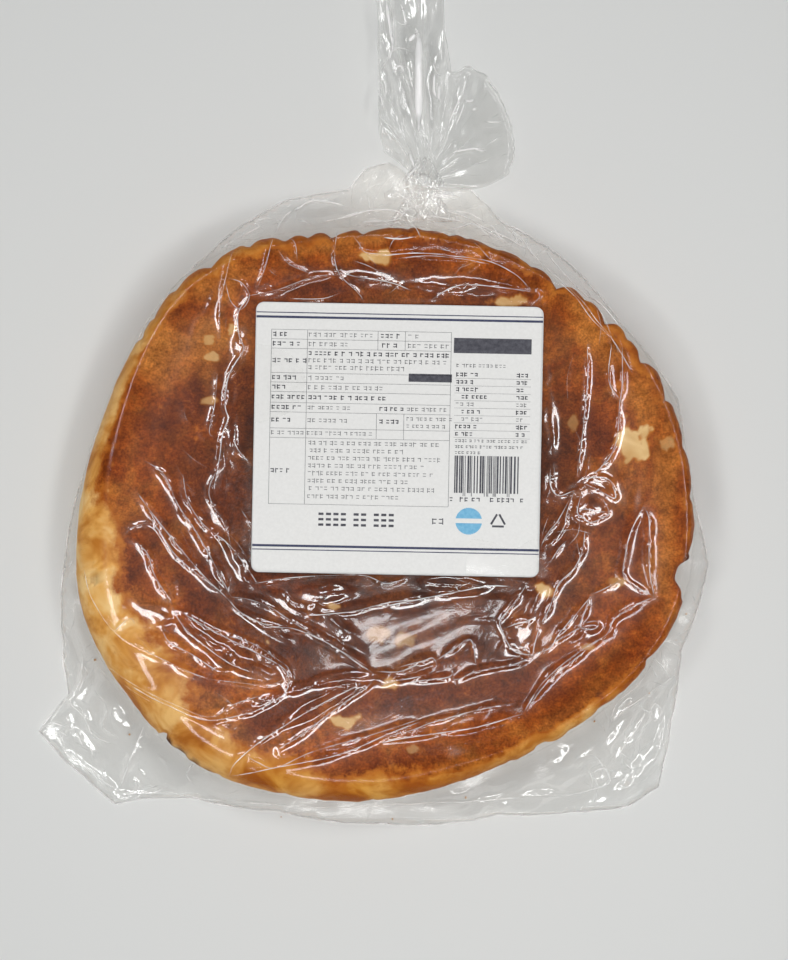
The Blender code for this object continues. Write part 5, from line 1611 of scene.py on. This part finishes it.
edge = label_border()
across, down = np.meshgrid(
    *(np.arange(FIRST_POINT, side - 1, PAPER_STEP) for side in (LABEL_WIDTH, LABEL_LENGTH))
)
inner = np.column_stack([across.ravel(), down.ravel()])
corner = np.minimum(inner, [LABEL_WIDTH, LABEL_LENGTH] - inner)
past_corner = np.hypot(*np.clip(LABEL_CORNER - corner, 0, None).T)
inner = inner[(corner.min(1) > POINTS_IN) & (past_corner < LABEL_CORNER - POINTS_IN)]
flat, flat_faces, rim = triangulate(edge, [], inner)
place_x, place_y = label_place(flat[:, 0], flat[:, 1])
top = label_height(flat[:, 0], flat[:, 1])
upper_face = np.column_stack([place_x, place_y, top])
lower_face = np.column_stack([place_x, place_y, top - PAPER_THICKNESS])
count = len(flat)
faces = [list(reversed(face)) for face in flat_faces]
faces += [[count + k for k in face] for face in flat_faces]
for k, start in enumerate(rim):
    end = rim[(k + 1) % len(rim)]
    faces.append([start, end, count + end, count + start])

paper, tree, where = new_finish("label_paper")
fibre = noise(tree, where, 900.0, 3.0, 0.6)
wave = noise(tree, where, 70.0, 2.0, 0.5)
tone = ramp(tree, fibre, [(0.3, (0.79, 0.785, 0.765)), (0.7, (0.84, 0.835, 0.815))])
relief = sum_of(tree, sum_of(tree, fibre, 0.04, "MULTIPLY"), wave)
bump = put(tree, "ShaderNodeBump", {"Strength": 0.25, "Distance": 0.0012, "Height": relief})
put_out(tree, surface(tree, tone, 0.34, {"Normal": bump.outputs[0]}))

label = make_piece("label_sheet", np.vstack([upper_face, lower_face]), faces, paper)
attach(label, "root")
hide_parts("label")


# The label's print
# Plain printed fields: double rules, a table of thin lines, rows of small marks where the lines of text
# would be, bars, and two plain marks. Geometry Nodes lay one flat block of ink on each place.

# The print's seed, how high it lies on the paper, how thick it is, and the longest block of a field
INK_SEED, PRINT_LIFT, INK_THICKNESS, LONGEST_BLOCK = 23, 0.03, 0.04, 9.0
# The inks
GREY, DARK, NAVY, BLUE = 0, 1, 2, 3
# All that follows is in shares of the label. Printed rules: across, down, width, height, ink
RULES = (
    (0.00, 0.036, 1.00, 0.0035, NAVY), (0.00, 0.050, 1.00, 0.0085, NAVY),
    (0.00, 0.896, 1.00, 0.0085, NAVY), (0.00, 0.913, 1.00, 0.0035, NAVY),
)
# The table: its edges, how thick its lines are, and the longest piece of an upright one
TABLE_LEFT, TABLE_RIGHT, TABLE_TOP, TABLE_FOOT = 0.055, 0.68, 0.10, 0.745
TABLE_LINE, TABLE_PIECE = 0.0014, 0.06
TABLE_ROWS = (0.10, 0.135, 0.17, 0.26, 0.295, 0.33, 0.37, 0.405, 0.465, 0.50, 0.745)
TABLE_COLUMNS = (
    (TABLE_LEFT, TABLE_TOP, TABLE_FOOT), (TABLE_RIGHT, TABLE_TOP, TABLE_FOOT), (0.18, 0.10, 0.745),
    (0.425, 0.10, 0.17), (0.52, 0.10, 0.17), (0.425, 0.405, 0.50), (0.52, 0.405, 0.50),
)
# Lines of text: left, right, middle height, letter height, ink
TEXT_LINES = (
    (0.06, 0.125, 0.118, 0.02, DARK), (0.06, 0.17, 0.153, 0.02, DARK), (0.185, 0.42, 0.118, 0.02, GREY),
    (0.435, 0.515, 0.118, 0.02, DARK), (0.53, 0.58, 0.118, 0.02, GREY), (0.185, 0.33, 0.153, 0.02, GREY),
    (0.44, 0.51, 0.153, 0.02, DARK), (0.53, 0.675, 0.153, 0.02, GREY), (0.185, 0.675, 0.187, 0.02, DARK),
    (0.06, 0.178, 0.215, 0.02, DARK), (0.185, 0.67, 0.213, 0.02, GREY), (0.185, 0.54, 0.239, 0.02, GREY),
    (0.06, 0.145, 0.278, 0.02, DARK), (0.185, 0.31, 0.278, 0.02, GREY), (0.06, 0.12, 0.313, 0.02, DARK),
    (0.185, 0.45, 0.313, 0.02, GREY), (0.06, 0.46, 0.35, 0.02, DARK), (0.06, 0.165, 0.388, 0.02, DARK),
    (0.185, 0.34, 0.388, 0.018, GREY), (0.435, 0.52, 0.388, 0.018, DARK),
    (0.53, 0.68, 0.388, 0.018, GREY), (0.06, 0.145, 0.435, 0.02, DARK), (0.185, 0.34, 0.435, 0.02, GREY),
    (0.435, 0.505, 0.435, 0.02, DARK), (0.53, 0.69, 0.423, 0.017, GREY), (0.53, 0.67, 0.45, 0.017, GREY),
    (0.06, 0.42, 0.482, 0.018, GREY), (0.06, 0.145, 0.622, 0.02, DARK), (0.19, 0.66, 0.518, 0.019, GREY),
    (0.195, 0.52, 0.546, 0.019, GREY), (0.19, 0.65, 0.574, 0.019, GREY), (0.19, 0.6, 0.602, 0.019, GREY),
    (0.19, 0.64, 0.63, 0.019, GREY), (0.19, 0.56, 0.658, 0.019, GREY), (0.195, 0.64, 0.686, 0.019, GREY),
    (0.19, 0.51, 0.716, 0.019, GREY), (0.7, 0.88, 0.222, 0.016, GREY), (0.625, 0.668, 0.8, 0.03, DARK),
    (0.7, 0.95, 0.5, 0.014, GREY), (0.7, 0.945, 0.522, 0.014, GREY), (0.7, 0.8, 0.544, 0.014, GREY),
)
# How heavy the strokes of dark and of grey text are, in millimetres
HEAVY_STROKE, LIGHT_STROKE = 0.36, 0.25
# The small table on the right: a dark head and rows of a name and an amount. Some rows are indented
# and some are grey
HEAD = (0.69, 0.12, 0.27, 0.056)
SIDE_ROWS, SIDE_TOP, SIDE_PITCH, SIDE_LEFT, SIDE_RIGHT = 9, 0.255, 0.0275, 0.70, 0.955
SIDE_TEXT, AMOUNT_WIDTH, NAME_WIDTHS, INDENT = 0.018, 0.045, (0.06, 0.10), 0.02
INDENTED_ROWS, GREY_ROWS = (3, 5, 6), (4, 6)
TAG = (0.535, 0.2555, 0.150, 0.030)
# The bars: left, top, width, height; how many, and the groups of small marks under them
BARS, BAR_COUNT = (0.70, 0.555, 0.225, 0.150), 30
BAR_MARKS = ((0.685, 0.71), (0.72, 0.81), (0.825, 0.915), (0.93, 0.945))
# Rows of heavy dots: left, right, middle, height; a dot's size; the groups as shares of that width
STAMP, STAMP_DOT = (0.23, 0.49, 0.80, 0.050), (1.9, 0.9)
STAMP_GROUPS = ((0.0, 0.40), (0.47, 0.64), (0.74, 1.0))
# A disc of slices with a bare band across it, and three strokes: across, down, and reach in millimetres
DISC, DISC_SLICES = (0.753, 0.797, 5.0), 22
TRIANGLE, TRIANGLE_STROKE = (0.855, 0.797, 4.2), 0.75


def block(across, down, width, height, ink, turn=0.0):
    """One printed block: its middle on the label and its size, all in millimetres."""
    x, y = label_place(across, down)
    return (x, y, float(label_height(across, down)) + PRINT_LIFT), (width, height), turn, ink


def field(across, down, width, height, ink):
    """A field of ink from its top left corner and size, cut into blocks that follow the paper."""
    wide, tall = width * LABEL_WIDTH, height * LABEL_LENGTH
    count = max(1, math.ceil(wide / LONGEST_BLOCK))
    for k in range(count):
        middle = across * LABEL_WIDTH + wide * (k + 0.5) / count
        yield block(middle, down * LABEL_LENGTH + tall / 2, wide / count + 0.02, tall, ink)


def text_line(left, right, middle, size, ink, draw):
    """Rows of small marks in groups, as greyed-out words."""
    height = size * LABEL_LENGTH
    at, end = left * LABEL_WIDTH, right * LABEL_WIDTH
    weight = HEAVY_STROKE if ink == DARK else LIGHT_STROKE
    while at < end - height * 0.6:
        for _ in range(draw.integers(1, 5)):
            if at > end - height * 0.6:
                break
            wide = height * draw.uniform(0.62, 0.80)
            centre, down = at + wide * 0.42, middle * LABEL_LENGTH
            yield block(centre, down - height * 0.26, wide * 0.80, weight, ink)
            if draw.random() < 0.75:
                yield block(centre, down + height * 0.22, wide * draw.uniform(0.5, 0.85), weight, ink)
            if draw.random() < 0.8:
                upright = at + wide * draw.choice((0.15, 0.75))
                yield block(upright, down, weight, height * draw.uniform(0.6, 0.95), ink)
            at += wide + height * 0.14
        at += height * 0.42


def printed_blocks():
    draw = np.random.default_rng(INK_SEED)
    for across, down, width, height, ink in RULES:
        yield from field(across + 0.002, down, width - 0.004, height, ink)
    for row in TABLE_ROWS:
        yield from field(TABLE_LEFT, row, TABLE_RIGHT - TABLE_LEFT, TABLE_LINE, GREY)
    for column, top, foot in TABLE_COLUMNS:
        for start in np.arange(top, foot, TABLE_PIECE):
            stop = min(start + TABLE_PIECE, foot)
            yield from field(column, start, TABLE_LINE, stop - start, GREY)
    for left, right, middle, size, ink in TEXT_LINES:
        yield from text_line(left, right, middle, size, ink, draw)
    yield from field(*HEAD, DARK)
    yield from field(*TAG, DARK)
    for k in range(SIDE_ROWS):
        down = SIDE_TOP + k * SIDE_PITCH
        left = SIDE_LEFT + INDENT * (k in INDENTED_ROWS)
        right = left + draw.uniform(*NAME_WIDTHS)
        ink = GREY if k in GREY_ROWS else DARK
        yield from text_line(left, right, down, SIDE_TEXT, ink, draw)
        yield from text_line(SIDE_RIGHT - AMOUNT_WIDTH, SIDE_RIGHT, down, SIDE_TEXT, ink, draw)
        yield from field(SIDE_LEFT - 0.005, down + 0.0135, SIDE_RIGHT - SIDE_LEFT + 0.01, 0.001, GREY)
    left, top, wide, tall = BARS
    steps = draw.choice((1, 1, 2, 3), 2 * BAR_COUNT)
    unit = wide / steps.sum()
    at = left
    for bar, gap in zip(steps[::2], steps[1::2]):
        yield from field(at, top, bar * unit, tall - 0.012 * (bar > 1), DARK)
        at += (bar + gap) * unit
    for start, end in BAR_MARKS:
        yield from text_line(start, end, top + tall + 0.012, 0.020, DARK, draw)
    start, end, middle, size = STAMP
    for first, last in STAMP_GROUPS:
        for cell in np.arange(first, last - 0.04, 0.10):
            at = (start + (end - start) * cell) * LABEL_WIDTH + 1.0
            down, tall = middle * LABEL_LENGTH, size * LABEL_LENGTH
            for level in (-0.4, 0.0, 0.4):
                yield block(at, down + tall * level, *STAMP_DOT, DARK)
    across, down, size = TRIANGLE
    for side in range(3):
        angle = math.radians(90 + 120 * side)
        stroke_x = across * LABEL_WIDTH + 0.42 * size * math.cos(angle + math.pi / 3)
        stroke_y = down * LABEL_LENGTH - 0.42 * size * math.sin(angle + math.pi / 3)
        turn = angle + math.pi / 3 + math.pi / 2
        yield block(stroke_x, stroke_y, size * 1.05, TRIANGLE_STROKE, DARK, turn)
    across, down, size = DISC
    slice_height = size / (DISC_SLICES + 0.5) + 0.01
    for k in range(-DISC_SLICES, DISC_SLICES + 1):
        off = k * size / (DISC_SLICES + 0.5)
        if abs(off + 0.2) < 0.9:
            continue
        half = math.sqrt(size**2 - off**2)
        yield block(across * LABEL_WIDTH, down * LABEL_LENGTH + off, 2 * half, slice_height, BLUE)


ink_sizes = {"Thickness": INK_THICKNESS * MM}
ink_tree, given = new_tree("ink_blocks", {**ink_sizes, "Finish": None})
cube = put(ink_tree, "GeometryNodeMeshCube", {"Size": (1.0, 1.0, 1.0)})
size = put(
    ink_tree, "ShaderNodeCombineXYZ",
    {"X": number_at(ink_tree, "wide"), "Y": number_at(ink_tree, "tall"), "Z": given.outputs["Thickness"]},
)
face_turn = put(ink_tree, "ShaderNodeCombineXYZ", {"Z": number_at(ink_tree, "turn")})
laid = put(
    ink_tree, "GeometryNodeInstanceOnPoints",
    {
        "Points": given.outputs["Geometry"], "Instance": cube.outputs["Mesh"],
        "Scale": size.outputs[0], "Rotation": face_turn.outputs[0],
    },
)
real = put(ink_tree, "GeometryNodeRealizeInstances", {"Geometry": laid.outputs[0]})
give_out(ink_tree, real.outputs[0], given)

INKS = {
    GREY: ("grey_print", (0.16, 0.16, 0.17), (0.26, 0.26, 0.27)),
    DARK: ("dark_print", (0.035, 0.035, 0.05), (0.09, 0.09, 0.11)),
    NAVY: ("rule_print", (0.020, 0.026, 0.075), (0.05, 0.06, 0.13)),
    BLUE: ("round_print", (0.13, 0.42, 0.66), (0.22, 0.52, 0.74)),
}
blocks = list(printed_blocks())
for ink, (name, darker, lighter) in INKS.items():
    printed, tree, where = new_finish(name)
    tone = ramp(tree, noise(tree, where, 700.0, 2.0, 0.6), [(0.3, darker), (0.7, lighter)])
    put_out(tree, surface(tree, tone, 0.45))
    mine = [made for made in blocks if made[3] == ink]
    start = make_piece(name + "_places", [made[0] for made in mine], [], printed)
    mark(start, "wide", [made[1][0] * MM for made in mine])
    mark(start, "tall", [made[1][1] * MM for made in mine])
    mark(start, "turn", [made[2] + math.radians(LABEL_TURN) for made in mine])
    piece = grown(name, start, ink_tree, ink_sizes, printed)
    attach(piece, "root")


# Table, lights and camera
# A plain pale table top under a wide soft light, with small bright lamps round it for the film's glints.
# The camera looks straight down from half a metre.

TABLE_SIZE, TABLE_COLOUR, TABLE_ROUGHNESS = 1600.0, (0.735, 0.74, 0.725, 1), 0.75
CAMERA, VIEW_ANGLE = (4.3, 12.9, 500.0), 42.2
# Lamps stand in a ring: how far off the vertical, distance, length round the ring, breadth, bearings
RING_TILT, RING_DISTANCE, LAMP_LENGTH, LAMP_BREADTH = 31.0, 900.0, 340.0, 120.0
LAMP_BEARINGS, LAMP_POWER = (8.0, 80.0, 150.0, 215.0, 272.0, 322.0), 1.27
# Panels overhead that the film's face mirrors: place, width, length, turn, power
PANELS = (
    ("overhead_panel", (-10.0, -190.0, 1500.0), 420.0, 270.0, 0.0, 0.075),
    ("overhead_window", (30.0, -205.0, 1480.0), 230.0, 80.0, 12.0, 0.44),
)
# The room's brightness straight up and at the walls, and where the walls begin and end
ROOM_ABOVE, ROOM_WALLS, WALLS_FROM, WALLS_TO = 0.03, 0.24, 0.72, 0.40
ROOM_COLOUR = (0.93, 0.96, 1.0, 1)
# How many layers of clear film a ray may pass
FILM_LAYERS = 32

floor = make_piece(
    "table_top",
    [(u * TABLE_SIZE, v * TABLE_SIZE, 0) for u, v in ((-1, -1), (1, -1), (1, 1), (-1, 1))],
    [(0, 1, 2, 3)], bpy.data.materials.new("pale_table"),
)
tabletop = floor.data.materials[0]
tabletop.use_nodes = True
table_shader = tabletop.node_tree.nodes["Principled BSDF"]
table_shader.inputs["Base Color"].default_value = TABLE_COLOUR
table_shader.inputs["Roughness"].default_value = TABLE_ROUGHNESS
floor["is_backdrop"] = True


def lamp(name, place, length, breadth, power, pitch, turn):
    """A soft rectangular lamp, its length level, turned round the upright line and then tilted."""
    light = bpy.data.lights.new(name, "AREA")
    light.shape = "RECTANGLE"
    light.size, light.size_y = length * MM, breadth * MM
    light.energy = power
    made = bpy.data.objects.new(name, light)
    made.location = [value * MM for value in place]
    made.rotation_euler = (pitch, 0, turn)
    bpy.context.scene.collection.objects.link(made)


for k, bearing in enumerate(LAMP_BEARINGS):
    tilt = math.radians(RING_TILT)
    ring_x, ring_y = at_bearing(bearing, RING_DISTANCE * math.sin(tilt))
    place = (ring_x, ring_y, RING_DISTANCE * math.cos(tilt))
    facing = math.radians(bearing) + math.pi / 2
    lamp(f"lamp_{k + 1}", place, LAMP_LENGTH, LAMP_BREADTH, LAMP_POWER, tilt, facing)
for name, place, width, length, turn, power in PANELS:
    lamp(name, place, width, length, power, 0.0, math.radians(turn))

world = bpy.data.worlds.new("pale_room")
world.use_nodes = True
tree = world.node_tree
heading = put(tree, "ShaderNodeTexCoord").outputs["Generated"]
height = put(tree, "ShaderNodeSeparateXYZ", {0: heading}).outputs["Z"]
room = mapped(tree, height, (WALLS_FROM, WALLS_TO), (ROOM_ABOVE, ROOM_WALLS))
tree.nodes["Background"].inputs["Color"].default_value = ROOM_COLOUR
tree.links.new(room, tree.nodes["Background"].inputs["Strength"])
bpy.context.scene.world = world
bpy.context.scene.view_settings.view_transform = "Standard"
bpy.context.scene.cycles.transparent_max_bounces = FILM_LAYERS

camera_data = bpy.data.cameras.new("camera")
camera_data.sensor_fit = "VERTICAL"
camera_data.angle = math.radians(VIEW_ANGLE)
camera = bpy.data.objects.new("camera", camera_data)
camera.location = [value * MM for value in CAMERA]
bpy.context.scene.collection.objects.link(camera)
bpy.context.scene.camera = camera

boxes = {"cad": cad_box, "visual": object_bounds()}
{name: [list(corner) for corner in box] for name, box in boxes.items()}
